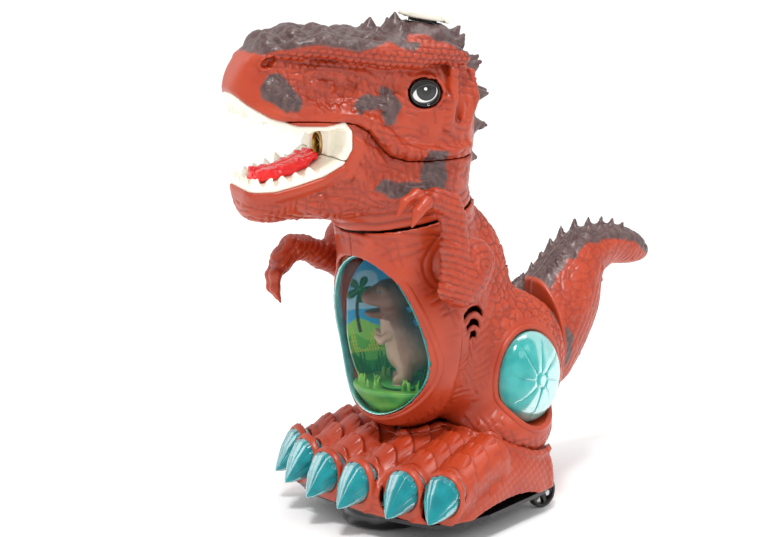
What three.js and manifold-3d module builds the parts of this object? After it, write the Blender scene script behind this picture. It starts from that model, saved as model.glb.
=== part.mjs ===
// Dinosaur bubble machine: a bump-and-go toy that drives on a swivelling turret, swings its head and tail,
// turns a small figure behind a chest window and blows bubbles from its mouth.
// Millimetres, +Z up, the animal faces -Y, origin on the floor below the middle of the whole toy.
import * as THREE from 'three';
import { mergeVertices } from 'three/addons/utils/BufferGeometryUtils.js';
import Module from 'manifold-3d';

const wasm = await Module();
wasm.setup();

// ---------------------------------------------------------------- driving dimensions

const WALL = 2.2;          // moulded shell thickness
const GAP = 0.35;          // clearance between fitted pieces
const FAR = 200;           // longer than any piece, for cutting tools

// Neck joint: the head turns about an axis that leans forward by NECK_TILT.
const NECK = new THREE.Vector3(0, -47, 168);
const NECK_TILT = THREE.MathUtils.degToRad(12);
const HEAD_TURN = THREE.MathUtils.degToRad(-16);
const NECK_GAP = 1.0;

// Head, in the head's own frame (origin at NECK): [y, half width, z bottom, z top]
const HEAD_STATIONS = [
  [-100, 10, 24, 78], [-97, 15, 8, 84], [-90, 20, 1, 89], [-80, 23, -2, 93], [-65, 26, -1, 96], [-45, 31, -2, 97],
  [-20, 35, -8, 97], [0, 36, -8, 97], [15, 33, -2, 93], [26, 26, 6, 85], [34, 14, 24, 70],
];
const HEAD_POWER = 2.5;
const HEAD_NECK_TOP = 24;   // how far the neck's stub reaches up into the head
const JAW_SEAM_Z = 32;      // the skull and jaw shells part on this level
const MOUTH_HALF_LENGTH = 45;
const MOUTH_EDGE = [        // side view of the mouth opening, [y, z]
  [-115, 74], [-102, 68], [-95, 61], [-84, 54.5], [-70, 50.5], [-56, 50.5], [-47, 52.5], [-43.5, 48],
  [-43, 39], [-47, 31], [-56, 25], [-68, 20.5], [-80, 17], [-92, 16.5], [-98, 19], [-115, 26],
];
const THROAT = { halfWidth: 15, front: -50, back: -41, low: 26, high: 50 };
const OUTLET = { z: 38, radius: 5.4, ring: 1.1, length: 5 };
const EYE = { x: 27, y: -3, z: 67, radius: 9, toe: THREE.MathUtils.degToRad(20) };
const LID = { y: 8, z: 101.5, radius: 11, thick: 2.6, tilt: THREE.MathUtils.degToRad(-8), neck: 7 };

// Bubble works inside the head, in the head's frame
const TANK = { halfWidth: 17, y0: -9, y1: 24, z0: 72, z1: 90, wall: 1.5, neckTop: 98.3 };
const NIPPLE = { y: -3, radius: 2.2, bore: 1, low: 67, high: 73 };
const DUCT = { halfWidth: 13, y0: -40, y1: -8, z0: 26, z1: 51, wall: 1.5, port: 6 };
const FAN = { y0: -22, y1: -14, hub: 3, radius: 10, plate: 1.5, blades: 6, bladeTip: 9.6, bore: 1.1 };
const FAN_MOTOR = { y0: -11, y1: 12, radius: 9.5, shaft: 1 };
const SPIGOT = { flange: 34, outer: 17, bore: 14, lip: 20, low: -12, high: 4 };
const BEARING = { outer: 32, inner: 17.5, low: -8, high: -5 };

// Torso
const CHEST = { c: [0, -44, 108], r: [40, 40, 58] };
const COLLAR = { radius: 38, low: 34, z0: 140, z1: 178 };
const BACK = { c: [0, -14, 118], r: [33, 34, 54] };
const HIP = { c: [18, 7, 78], r: [25, 42, 44] };
const RUMP = { c: [0, 20, 82], r: [36, 46, 36] };
const LEG = { c: [28, 2, 48], r: [23, 30, 22] };
const TORSO_BOTTOM = 38;
const TAIL_PLANE_Y = 45.2;
const WINDOW = { z: 98, halfWidth: 37, up: 49, down: 38 };
const THIGH = { y: 9, z: 76, ry: 22, rz: 25.5, rimX: 39.5, depth: 11 };
const SHOULDER = { x: 50.5, y: -44, z: 146, pin: 3.5, boss: 10, bossEnd: 38 };
const TAIL_HOLE = { z: 84, radius: 22 };
const YOKE = { halfWidth: 10, armHalfWidth: 5, low: 66, high: 104, armLevels: [[71, 74], [96, 99]] };
const SOUND_SLOTS = [[116, 8.5], [109.5, 5.5], [103.5, 3.2]];      // [z, half length] about SLOT_Y
const SLOT_Y = -29;
const SPEAKER = { z: 110, turn: 24, radius: 8, magnet: 5 };
const BOARD = { halfWidth: 15, back: -16.5, front: -18, low: 88, high: 122 };
const ARM_RAISED = 0;                                  // left arm as modelled, forearm up
const ARM_LOWERED = THREE.MathUtils.degToRad(62);      // right arm, forearm forward

// Tail: [y, z, radius] along its centreline
const TAIL_STATIONS = [
  [48.4, 84, 30.5], [60, 94, 28], [72, 106, 24.5], [80, 119, 20], [91, 129, 16], [109, 133.5, 12.6], [127, 130.5, 10.5],
  [138, 127, 6.5], [142, 125.5, 2.5],
];
const TAIL_NARROW = 0.92;     // width over height of every tail section
const TAIL_PIN = { y: 52, radius: 2.5, boss: 5, low: 69, high: 101 };

// Foot: [y, half width, z top]
const FOOT_STATIONS = [
  [-88, 30, 33], [-82, 50, 37], [-75, 61, 41], [-60, 67, 46], [-40, 66, 51], [-20, 61, 53], [0, 56, 51], [14, 52, 47],
  [22, 49, 43], [26, 44, 37],
];
const FOOT_POWER = 3.2;
const FOOT_BOTTOM = 14;
const PLATE = { z0: 11.5, z1: 13.7, inset: 3 };
const TOES = [{ x: 13, y: -72 }, { x: 38, y: -67 }, { x: 57, y: -58 }];
const CLAWS = [{ x: 13, y: -88, lean: 0 }, { x: 41, y: -80, lean: 0.12 }, { x: 61, y: -70.5, lean: 0.24 }];

// Drive: a turret that swivels under the toes carries the geared drive wheels
const TURRET = { y: -59, radius: 23, z0: 1.2, z1: 10.8, hub: 18.5, top: 27.5, wall: 1.8 };
const DRIVE_WHEEL = { radius: 9, width: 4, x: 11, axle: 1.5 };
const GEAR = { module: 0.8, teeth: 16, pinionTeeth: 8, width: 3.6, backlash: 0.25, x: -5.5 };
const REAR_WHEEL = { radius: 9, width: 5, x: 38, y: 22, axle: 1.5 };
const CELL = { radius: 7.1, length: 50, z: 23, ys: [-20, -4.8, 10.4] };
const BAY = { halfWidth: 27.5, y0: -29.4, y1: 19.4, z0: 14.2, z1: 33, wall: 1.3 };
const COVER = { halfWidth: 26.6, y0: -28.4, y1: 18.4, screwY: 14 };
const SWITCH = { x: -41, y: -20 };

// Small figure that turns behind the chest window
const FIGURE = { x: 0, y: -46, facing: -40 };

// ---------------------------------------------------------------- materials

const material = (color, roughness, extra = {}) =>
  new THREE.MeshStandardMaterial({ color, roughness, metalness: 0, ...extra });
const M = {
  skin: material(0xb5472c, 0.5),
  cream: material(0xece7d2, 0.4),
  tongue: material(0xe0141e, 0.35),
  black: material(0x17171a, 0.4),
  teal: material(0x55c8c4, 0.1, { transparent: true, opacity: 0.5 }),
  eye: material(0xf4f4f0, 0.15),
  brass: material(0xb59a55, 0.35, { metalness: 1 }),
  steel: material(0xb8bbc0, 0.3, { metalness: 1 }),
  rubber: material(0x202022, 0.8),
  clear: material(0xdfe7e8, 0.3),
  card: material(0x58b8e8, 0.6),
  green: material(0x3fa650, 0.5),
  figure: material(0x7a5243, 0.5),
  board: material(0x1f6b3a, 0.5),
  cell: material(0x2c3f8f, 0.35),
  white: material(0xe8e8e4, 0.45),
};

// ---------------------------------------------------------------- solid helpers

// A closed geometry as a manifold solid, faces turned out whichever way it was wound.
function solid(geometry) {
  const bare = geometry.index ? geometry.toNonIndexed() : geometry.clone();
  const points = new THREE.BufferGeometry().setAttribute('position', bare.getAttribute('position'));
  const merged = mergeVertices(points, 1e-4);
  const make = (triVerts) => new wasm.Manifold(new wasm.Mesh({
    numProp: 3, vertProperties: merged.attributes.position.array, triVerts,
  }));
  const indices = new Uint32Array(merged.index.array);
  const made = make(indices);
  return made.volume() > 0 ? made : make(indices.reverse());
}

function meshOf(name, made, mat) {
  const { vertProperties, triVerts, numProp, numVert } = made.getMesh();
  const positions = new Float32Array(numVert * 3);
  for (let i = 0; i < numVert; i++) positions.set(vertProperties.subarray(i * numProp, i * numProp + 3), i * 3);
  const geometry = new THREE.BufferGeometry();
  geometry.setAttribute('position', new THREE.BufferAttribute(positions, 3));
  geometry.setIndex(new THREE.BufferAttribute(new Uint32Array(triVerts), 1));
  geometry.computeVertexNormals();
  const mesh = new THREE.Mesh(geometry, mat);
  mesh.name = name;
  return mesh;
}

const box = (x0, x1, y0, y1, z0, z1) => solid(
  new THREE.BoxGeometry(x1 - x0, y1 - y0, z1 - z0).translate((x0 + x1) / 2, (y0 + y1) / 2, (z0 + z1) / 2));

const ellipsoid = (c, r, around = 14, up = 8) => solid(
  new THREE.SphereGeometry(1, around, up).rotateX(Math.PI / 2).scale(...r).translate(...c));

// A cylinder along 'x', 'y' or 'z', from one coordinate to another on that axis.
function cylinder(axis, centre, radius, from, to, sides = 16, toRadius = radius) {
  const g = new THREE.CylinderGeometry(toRadius, radius, to - from, sides).translate(0, (from + to) / 2, 0);
  if (axis === 'x') g.rotateZ(-Math.PI / 2).translate(0, centre[0], centre[1]);
  if (axis === 'y') g.translate(centre[0], 0, centre[1]);
  if (axis === 'z') g.rotateX(Math.PI / 2).translate(centre[0], centre[1], 0);
  return solid(g);
}

const tube = (axis, centre, outer, inner, from, to, sides = 18) =>
  cylinder(axis, centre, outer, from, to, sides).subtract(cylinder(axis, centre, inner, from - 1, to + 1, sides));

// A closed skin over rings of points, each end closed with a fan.
function loft(rings) {
  const positions = [];
  const push = (...points) => points.forEach((p) => positions.push(p.x, p.y, p.z));
  const n = rings[0].length;
  for (let i = 0; i + 1 < rings.length; i++) {
    for (let k = 0; k < n; k++) {
      const a = rings[i][k];
      const b = rings[i][(k + 1) % n];
      const c = rings[i + 1][(k + 1) % n];
      const d = rings[i + 1][k];
      push(a, b, c, a, c, d);
    }
  }
  const middle = (ring) => ring.reduce((s, p) => s.add(p), new THREE.Vector3()).multiplyScalar(1 / n);
  const first = middle(rings[0]);
  const last = middle(rings.at(-1));
  for (let k = 0; k < n; k++) {
    push(first, rings[0][(k + 1) % n], rings[0][k]);
    push(last, rings.at(-1)[k], rings.at(-1)[(k + 1) % n]);
  }
  const corners = new THREE.Float32BufferAttribute(positions, 3);
  return solid(new THREE.BufferGeometry().setAttribute('position', corners));
}

const signedPower = (v, p) => Math.sign(v) * Math.abs(v) ** p;

// A superellipse ring in the plane at y.
function ringAtY(y, halfWidth, low, high, power, sides) {
  const middle = (low + high) / 2;
  const half = (high - low) / 2;
  return Array.from({ length: sides }, (_, k) => {
    const t = (2 * Math.PI * (k + 0.5)) / sides;
    return new THREE.Vector3(
      halfWidth * signedPower(Math.cos(t), 2 / power), y, middle + half * signedPower(Math.sin(t), 2 / power));
  });
}

// A tapered round limb along a path of points, each with its radius.
function limb(points, radii, sides = 8) {
  const curve = points.map((p) => new THREE.Vector3(...p));
  const rings = curve.map((p, i) => {
    const along = curve[Math.min(i + 1, curve.length - 1)].clone().sub(curve[Math.max(i - 1, 0)]).normalize();
    const side = new THREE.Vector3(1, 0, 0).addScaledVector(along, -along.x).normalize();
    const other = along.clone().cross(side);
    return Array.from({ length: sides }, (_, k) => {
      const t = (2 * Math.PI * k) / sides;
      const across = radii[i] * Math.cos(t);
      const up = radii[i] * Math.sin(t);
      return p.clone().addScaledVector(side, across).addScaledVector(other, up);
    });
  });
  return loft(rings);
}

// Extrudes a shape drawn in the (y, z) plane along x, centred on x = 0.
function prismAlongX(shape, halfLength) {
  const g = new THREE.ExtrudeGeometry(shape, { depth: 2 * halfLength, bevelEnabled: false, curveSegments: 8 });
  g.translate(0, 0, -halfLength);
  g.applyMatrix4(new THREE.Matrix4().makeBasis(
    new THREE.Vector3(0, 1, 0), new THREE.Vector3(0, 0, 1), new THREE.Vector3(1, 0, 0)));
  return solid(g);
}

// Extrudes a shape drawn in the (x, z) plane along y.
function prismAlongY(shape, y0, y1, curveSegments = 12) {
  const g = new THREE.ExtrudeGeometry(shape, { depth: y1 - y0, bevelEnabled: false, curveSegments });
  g.rotateX(Math.PI / 2).translate(0, y1, 0);
  return solid(g);
}

const prismAlongZ = (shape, z0, z1, curveSegments = 12) => solid(
  new THREE.ExtrudeGeometry(shape, { depth: z1 - z0, bevelEnabled: false, curveSegments }).translate(0, 0, z0));

const shapeOf = (points) => new THREE.Shape(points.map(([a, b]) => new THREE.Vector2(a, b)));
const both = (f) => f(1).add(f(-1));

// A box from |x| = x0 to x1 on one side of the middle plane.
const sideBox = (side, x0, x1, y0, y1, z0, z1) =>
  box(Math.min(side * x0, side * x1), Math.max(side * x0, side * x1), y0, y1, z0, z1);

// A cylinder along x from |x| = x0 to x1 on one side of the middle plane.
const sideCylinder = (side, centre, radius, x0, x1, sides) =>
  cylinder('x', centre, radius, Math.min(side * x0, side * x1), Math.max(side * x0, side * x1), sides);

const toDegrees = THREE.MathUtils.radToDeg;
const EVERYWHERE = [-FAR, FAR];
const aboveLevel = (z) => box(...EVERYWHERE, ...EVERYWHERE, z, FAR);
const belowLevel = (z) => box(...EVERYWHERE, ...EVERYWHERE, -FAR, z);
const leftHalf = () => box(GAP / 2, FAR, ...EVERYWHERE, ...EVERYWHERE);
const rightHalf = () => box(-FAR, -GAP / 2, ...EVERYWHERE, ...EVERYWHERE);

const join = (solids) => solids.reduce((a, b) => a.add(b));
const shifted = (made, x, y, z) => made.translate([x, y, z]);

// ---------------------------------------------------------------- head pieces, in the head's frame

const leaning = (made) => made.rotate([toDegrees(NECK_TILT), 0, 0]);

// The head's rings shrunk by inset, which also draws the end rings in.
function headRings(inset) {
  const front = HEAD_STATIONS[0][0];
  const back = HEAD_STATIONS.at(-1)[0];
  return HEAD_STATIONS.map(([y, w, low, high]) => {
    const moved = y < 0 ? y + (inset * y) / front : y - (inset * y) / back;
    return ringAtY(moved, Math.max(w - inset, 4), low + inset, high - inset, HEAD_POWER, 14);
  });
}

function headSolid(inset) {
  const bottom = NECK_GAP - 2 * Math.max(inset, 0);
  const neck = cylinder('z', [0, 0], COLLAR.radius - 1 - inset, bottom, HEAD_NECK_TOP - inset, 20);
  return loft(headRings(inset)).add(leaning(neck));
}
const mouthPrism = () => prismAlongX(shapeOf(MOUTH_EDGE), MOUTH_HALF_LENGTH);

// Everything on the head's side of the leaning neck plane.
function aboveNeckPlane(offset) {
  const g = new THREE.BoxGeometry(FAR, FAR, FAR).translate(0, 0, FAR / 2 + offset).rotateX(NECK_TILT);
  return solid(g);
}

// The round hole an eye sits in, cut outwards from the eye's centre.
function eyeSocket(side, radius, depth) {
  const g = new THREE.CylinderGeometry(radius, radius, depth, 20).rotateZ((-Math.PI / 2) * side);
  g.translate((side * depth) / 2, 0, 0).rotateZ(-side * EYE.toe).translate(side * EYE.x, EYE.y, EYE.z);
  return solid(g);
}

const SPIKES = [   // crest and nape spikes: [y, z, height, base radius, lean back from vertical in degrees]
  [-22, 94, 9, 6, 0], [-8, 95, 11, 6.5, 0], [24, 89, 11, 6, 35], [32, 76, 12, 6, 60], [36, 62, 12, 6, 85],
  [36, 46, 12, 6, 95],
];

function skull_shell() {
  const spikes = SPIKES.map(([y, z, height, radius, lean]) => solid(
    new THREE.ConeGeometry(radius, height + 4, 8).rotateX(Math.PI / 2).translate(0, 0, height / 2 - 2)
      .rotateX(-THREE.MathUtils.degToRad(lean)).translate(0, y, z)));
  const shell = headSolid(0).add(join(spikes)).subtract(headSolid(WALL)).subtract(mouthPrism());
  return shell
    .subtract(both((side) => eyeSocket(side, EYE.radius + GAP, 20)))
    .subtract(cylinder('z', [0, LID.y], LID.neck + 1.5 + GAP, 85, 110))
    .intersect(aboveLevel(JAW_SEAM_Z + GAP / 2));
}

function jaw_shell() {
  return headSolid(0).subtract(headSolid(WALL)).subtract(mouthPrism())
    .intersect(belowLevel(JAW_SEAM_Z - GAP / 2))
    .intersect(aboveNeckPlane(NECK_GAP));
}

// A liner follows the mouth edge just inside the shells, like a lining in a mouth.
const linerRoom = () => loft(headRings(WALL + GAP));
function mouthBand(thick) {
  const outer = MOUTH_EDGE.slice(1, -1);
  const centre = [-85, 38];
  const inner = outer.map(([y, z]) => {
    const dy = centre[0] - y;
    const dz = centre[1] - z;
    const d = Math.hypot(dy, dz);
    return [y + (dy / d) * thick, z + (dz / d) * thick];
  });
  return prismAlongX(shapeOf([...outer, ...inner.reverse()]), MOUTH_HALF_LENGTH);
}

// How far from the middle plane a tooth stands at y.
function toothX(y) {
  const i = HEAD_STATIONS.findIndex(([at]) => at > y);
  const [y0, w0] = HEAD_STATIONS[i - 1];
  const [y1, w1] = HEAD_STATIONS[i];
  return THREE.MathUtils.lerp(w0, w1, (y - y0) / (y1 - y0)) - WALL - 3.4;
}

// A tooth with its root sunk a little into the liner at z, pointing up or down.
function tooth(x, y, z, up) {
  const g = new THREE.ConeGeometry(TOOTH.radius, TOOTH.height, 5).rotateX(up ? Math.PI / 2 : -Math.PI / 2);
  const lift = TOOTH.height / 2 - TOOTH.root;
  return solid(g.translate(x, y, up ? z + lift : z - lift));
}
const teethAt = (rows, up) => rows.flatMap(([y, z]) => [1, -1].map((s) => tooth(s * toothX(y), y, z, up)));

const TOOTH = { radius: 2.7, height: 7, root: 0.8 };
const UPPER_TEETH = [[-92, 57.5], [-84, 53], [-76, 50.5], [-68, 49], [-60, 49]];
const LOWER_TEETH = [[-86, 18.5], [-78, 19], [-70, 21.5], [-62, 24.5]];

function throatBlock(low, high) {
  return box(-THROAT.halfWidth, THROAT.halfWidth, THROAT.front, THROAT.back, low, high)
    .subtract(cylinder('y', [0, OUTLET.z], OUTLET.radius + OUTLET.ring + GAP, THROAT.front - 2, THROAT.back + 2));
}

const LINER_SEAM_Z = JAW_SEAM_Z + 1;
const outletHole = () => cylinder('y', [0, OUTLET.z], OUTLET.radius + OUTLET.ring + GAP, -60, -38);

function upper_mouth_liner() {
  const band = mouthBand(2).intersect(linerRoom());
  const throat = throatBlock(THROAT.low, THROAT.high + 3).intersect(linerRoom());
  return band.add(throat).subtract(outletHole())
    .intersect(aboveLevel(LINER_SEAM_Z + GAP / 2))
    .add(join(teethAt(UPPER_TEETH, false)));
}

function lower_mouth_liner() {
  const band = mouthBand(2).intersect(linerRoom());
  return band.add(throatBlock(THROAT.low - 1, THROAT.high)).subtract(outletHole())
    .intersect(belowLevel(LINER_SEAM_Z - GAP / 2))
    .add(join(teethAt(LOWER_TEETH, true)));
}

const TONGUE_PROFILE = [
  [-86, 19.4], [-70, 23], [-62, 26.2], [-54, 31], [-53, 34], [-62, 30.5], [-72, 26.5], [-84, 24.5], [-87, 22],
];
const TONGUE_HALF_WIDTH = 9;
const tongue = () => prismAlongX(shapeOf(TONGUE_PROFILE), TONGUE_HALF_WIDTH);

function outlet_ring() {
  const front = THROAT.front - 0.6;
  return tube('y', [0, OUTLET.z], OUTLET.radius + OUTLET.ring, OUTLET.radius, front, front + OUTLET.length);
}

function eye(side) {
  const lens = ellipsoid([0, 0, 0], [3.4, EYE.radius, EYE.radius], 14, 12);
  const shank = cylinder('x', [0, 0], EYE.radius - 0.3, -2.5, 0.5, 16);
  const made = lens.intersect(box(0, FAR, ...EVERYWHERE, ...EVERYWHERE)).add(shank);
  const out = side > 0 ? made : made.mirror([1, 0, 0]);
  return shifted(out.rotate([0, 0, toDegrees(-side * EYE.toe)]), side * (EYE.x + 4.3), EYE.y - 1.6, EYE.z);
}

function filler_lid() {
  const disc = cylinder('z', [0, 0], LID.radius, 0, LID.thick, 24);
  const plug = cylinder('z', [0, 0], LID.neck - 2.4, -4, 0.5, 16);
  const tab = box(-3, 3, -LID.radius - 3, -LID.radius + 2, 0.3, LID.thick);
  const knuckle = cylinder('x', [LID.radius + 1.6, 0.6], 1.6, -4, 4, 10);
  const arm = box(-3.6, 3.6, LID.radius - 2, LID.radius + 1.6, 0, 1.8);
  return onLid(join([disc, plug, tab, knuckle, arm]));
}

const onLid = (made) => shifted(made.rotate([toDegrees(LID.tilt), 0, 0]), 0, LID.y, LID.z);
const lid_seal = () => onLid(tube('z', [0, 0], LID.neck + 0.6, LID.neck - 2, -1.9, -0.3));

// The tank hangs under the filler hole; its neck comes up to the lid's seal.
function solution_tank() {
  const { halfWidth, y0, y1, z0, z1, wall, neckTop } = TANK;
  const body = box(-halfWidth, halfWidth, y0, y1, z0, z1).intersect(loft(headRings(WALL + 1)))
    .add(cylinder('z', [0, LID.y], LID.neck + 1.2, z1 - 2, neckTop));
  const room = box(wall - halfWidth, halfWidth - wall, y0 + wall, y1 - wall, z0 + wall, z1 - wall)
    .intersect(loft(headRings(WALL + 1 + wall)))
    .add(cylinder('z', [0, LID.y], LID.neck - 1, z1 - 5, neckTop + 5));
  const nipple = cylinder('z', [0, NIPPLE.y], NIPPLE.radius, NIPPLE.low, NIPPLE.high, 12);
  const bore = cylinder('z', [0, NIPPLE.y], NIPPLE.bore, NIPPLE.low - 5, NIPPLE.high + 5, 10);
  return body.add(nipple).subtract(room).subtract(bore);
}

// Silicone tube from the tank down to the top of the outlet duct.
function feed_tube() {
  const bends = [[0, -3, 66.6], [0, -4, 62], [0, -8, 58], [0, -12, 55], [0, -12, 52.4]];
  const path = new THREE.CatmullRomCurve3(bends.map((p) => new THREE.Vector3(...p)));
  const ring = new THREE.Shape().absarc(0, 0, NIPPLE.radius, 0, 2 * Math.PI);
  const options = { steps: 8, extrudePath: path, curveSegments: 5, bevelEnabled: false };
  return solid(new THREE.ExtrudeGeometry(ring, options));
}

// Duct from the fan to the outlet, open at both ends.
function air_duct() {
  const { halfWidth, y0, y1, z0, z1, wall, port } = DUCT;
  const room = box(wall - halfWidth, halfWidth - wall, y0 + wall, y1 + 2, z0 + wall, z1 - wall);
  return box(-halfWidth, halfWidth, y0, y1, z0, z1).subtract(room)
    .subtract(cylinder('y', [0, OUTLET.z], port, y0 - 5, y0 + 10));
}

function fan_impeller() {
  const { y0, y1, hub, radius, plate, blades, bladeTip, bore } = FAN;
  const middle = [0, OUTLET.z];
  const blade = (k) => box(2, bladeTip, y0, y1 - 1, -0.5, 0.5).rotate([0, (k * 360) / blades, 0]);
  const solids = [cylinder('y', middle, hub, y0, y1, 16), cylinder('y', middle, radius, y1 - plate, y1, 24)];
  for (let k = 0; k < blades; k++) solids.push(shifted(blade(k), 0, 0, OUTLET.z));
  return join(solids).subtract(cylinder('y', middle, bore, y0 - 8, y1 + 4, 12));
}

const fan_motor = () => cylinder('y', [0, OUTLET.z], FAN_MOTOR.radius, FAN_MOTOR.y0, FAN_MOTOR.y1, 20)
  .add(cylinder('y', [0, OUTLET.z], FAN_MOTOR.shaft, FAN.y0 + 1, FAN_MOTOR.y0 + 1, 10));

// The spigot is screwed inside the jaw and hangs through the bearing ring in the torso.
function neck_spigot() {
  const { flange, outer, bore, lip, low, high } = SPIGOT;
  const plate = leaning(tube('z', [0, 0], flange, bore, high - 2, high)).intersect(loft(headRings(WALL + GAP)));
  const barrel = tube('z', [0, 0], outer, bore, low, high - 1).add(tube('z', [0, 0], lip, bore, low, low + 2));
  return plate.add(leaning(barrel));
}
const neck_bearing = () => leaning(tube('z', [0, 0], BEARING.outer, BEARING.inner, BEARING.low, BEARING.high))
  .translate(NECK.toArray());

// ---------------------------------------------------------------- torso pieces

// Everything on the torso's side of the neck plane.
function belowNeckPlane(offset) {
  const g = new THREE.BoxGeometry(FAR, FAR, FAR).translate(0, 0, -FAR / 2 + offset).rotateX(NECK_TILT);
  return solid(g.translate(...NECK.toArray()));
}

const grown = ({ c, r }, by, side = 1) => ellipsoid([c[0] * side, c[1], c[2]], r.map((v) => v + by), 14, 8);
const torsoCore = (by) => join([
  grown(CHEST, by), grown(BACK, by), grown(RUMP, by), both((s) => grown(HIP, by, s)),
  cylinder('z', [0, NECK.y], COLLAR.low + by, COLLAR.z0, COLLAR.z1, 18, COLLAR.radius + 1 + by),
]);
const AT_SHOULDER = [SHOULDER.y, SHOULDER.z];
const shoulderBoss = (by) => both((s) => sideCylinder(
  s, AT_SHOULDER, SHOULDER.boss + by, 20, SHOULDER.bossEnd + by, 12));
const torsoSolid = (by) => torsoCore(by).add(both((s) => grown(LEG, by, s))).add(shoulderBoss(by));

// The window's outline: half an ellipse above WINDOW.z and a shorter half below it.
function windowShape(by) {
  const half = (height, from) => new THREE.EllipseCurve(
    0, WINDOW.z, WINDOW.halfWidth + by, height + by, from, from + Math.PI).getPoints(10);
  return new THREE.Shape().setFromPoints([...half(WINDOW.up, 0), ...half(WINDOW.down, Math.PI).slice(1, -1)]);
}

function windowPrism(by) {
  const g = new THREE.ExtrudeGeometry(windowShape(by), { depth: 60, bevelEnabled: false });
  return solid(g.rotateX(Math.PI / 2).translate(0, CHEST.c[1], 0));
}

function thighPrism(side, by) {
  const outline = new THREE.Shape().absellipse(THIGH.y, THIGH.z, THIGH.ry + by, THIGH.rz + by, 0, 2 * Math.PI);
  return shifted(prismAlongX(outline, 20), side * (THIGH.rimX + 5), 0, 0);
}

// Three sound slots beside the speaker.
const soundSlots = () => join(SOUND_SLOTS.map(([z, half]) =>
  box(25, 50, SLOT_Y - half, SLOT_Y + half, z - 1, z + 1)));

function torsoShell() {
  const inner = torsoCore(-WALL)
    .subtract(box(...EVERYWHERE, TAIL_PLANE_Y - WALL, FAR, ...EVERYWHERE))
    .add(shoulderBoss(-WALL));
  return torsoSolid(0)
    .intersect(belowNeckPlane(-NECK_GAP))
    .intersect(box(...EVERYWHERE, -FAR, TAIL_PLANE_Y, TORSO_BOTTOM, FAR))
    .subtract(inner)
    .subtract(cylinder('y', [0, TAIL_HOLE.z], TAIL_HOLE.radius, 30, 60, 20))
    .subtract(windowPrism(0))
    .subtract(both((s) => thighPrism(s, GAP)))
    .subtract(both((s) => sideCylinder(s, AT_SHOULDER, SHOULDER.pin + GAP, 15, 60, 16)))
    .subtract(soundSlots());
}
const wholeTorso = torsoShell();
const torso_shell_left = () => wholeTorso.intersect(leftHalf());
const torso_shell_right = () => wholeTorso.intersect(rightHalf());

const chest_window = () => grown(CHEST, 1.2).subtract(grown(CHEST, -1)).intersect(windowPrism(-GAP));

function thigh_window(side) {
  const arc = (radius, depth) => Array.from({ length: 5 }, (_, i) => {
    const t = (i / 4) * (Math.PI / 2);
    return new THREE.Vector2(radius * Math.sin(t), depth * Math.cos(t));
  });
  const outside = THIGH.rz - GAP;
  const inside = THIGH.rz - 2.4;
  const skirt = [new THREE.Vector2(outside, -3), new THREE.Vector2(inside, -3)];
  const profile = [...arc(outside, THIGH.depth), ...skirt, ...arc(inside, THIGH.depth - 2).reverse()];
  const g = new THREE.LatheGeometry(profile, 18).rotateZ((-Math.PI / 2) * side);
  g.scale(1, THIGH.ry / THIGH.rz, 1);
  return solid(g.translate(side * THIGH.rimX, THIGH.y, THIGH.z));
}

const CARD_PATH = [
  [35, -57], [31, -45], [25, -35], [15, -26], [0, -22.5], [-15, -26], [-25, -35], [-31, -45], [-35, -57],
];
const FIGURE_AXIS = [FIGURE.x, FIGURE.y];
const sceneFloor = () => cylinder('z', [0, CHEST.c[1]], 25.5, 70.2, 72, 20)
  .subtract(cylinder('z', FIGURE_AXIS, 3, 60, 80, 12));

// Printed card that wraps round the back of the little scene, with the scene's floor.
function scene_backdrop() {
  const reach = CARD_PATH[0][0];
  const edge = (by) => new THREE.SplineCurve(
    CARD_PATH.map(([x, y]) => new THREE.Vector2(x * (1 - by / reach), y - by))).getPoints(16);
  const band = new THREE.Shape([...edge(0), ...edge(1).reverse()]);
  return prismAlongZ(band, 70.6, 144).intersect(grown(CHEST, -WALL - GAP)).add(sceneFloor());
}

// The figure is joined to its turning disc, whose short shaft drops through the floor.
function small_dinosaur() {
  const legs = [1, -1].map((s) => ellipsoid([s * 6, 1, 80], [4, 5, 6.4], 8, 6));
  const pieces = [
    ellipsoid([0, 2, 90], [9, 11, 11], 10, 8), ellipsoid([0, -7, 103], [7, 8, 11], 10, 8),
    ellipsoid([0, -14, 114], [6, 8.5, 7.5], 10, 8),
    limb([[0, 9, 88], [0, 15, 90], [0, 20, 95]], [6.5, 4, 1.2], 6), ...legs,
  ];
  const base = cylinder('z', [0, 0], 12, 72.4, 74, 20).add(cylinder('z', [0, 0], 1.5, 67.6, 73, 10));
  const made = join(pieces).intersect(box(-30, 30, -30, 30, 73.7, 130)).add(base);
  return shifted(made.rotate([0, 0, FIGURE.facing]), ...FIGURE_AXIS, 0);
}

const figure_motor = () => box(-7, 7, -53, -39, 57, 65).add(cylinder('z', FIGURE_AXIS, 1, 64, 67.2, 10));

function speaker() {
  const frame = cylinder('x', [0, 0], SPEAKER.radius, 30.5, 33.2, 18);
  const magnet = cylinder('x', [0, 0], SPEAKER.magnet, 28.8, 31, 14);
  return shifted(frame.add(magnet).rotate([0, 0, SPEAKER.turn]), CHEST.c[0], CHEST.c[1], SPEAKER.z);
}

// Yoke fixed inside the torso: its two arms carry the tail's upright pin.
function tail_yoke() {
  const { halfWidth, armHalfWidth, low, high, armLevels } = YOKE;
  const plate = box(-halfWidth, halfWidth, TAIL_PLANE_Y - 6, TAIL_PLANE_Y - 3.5, low, high);
  const arms = armLevels.map(([z0, z1]) =>
    box(-armHalfWidth, armHalfWidth, TAIL_PLANE_Y - 4, TAIL_PIN.y + 4, z0, z1));
  return plate.add(join(arms))
    .subtract(cylinder('z', [0, TAIL_PIN.y], TAIL_PIN.radius + 0.05, 60, 110, 14));
}
const tail_pin = () => cylinder('z', [0, TAIL_PIN.y], TAIL_PIN.radius, TAIL_PIN.low, TAIL_PIN.high, 14);

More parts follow.
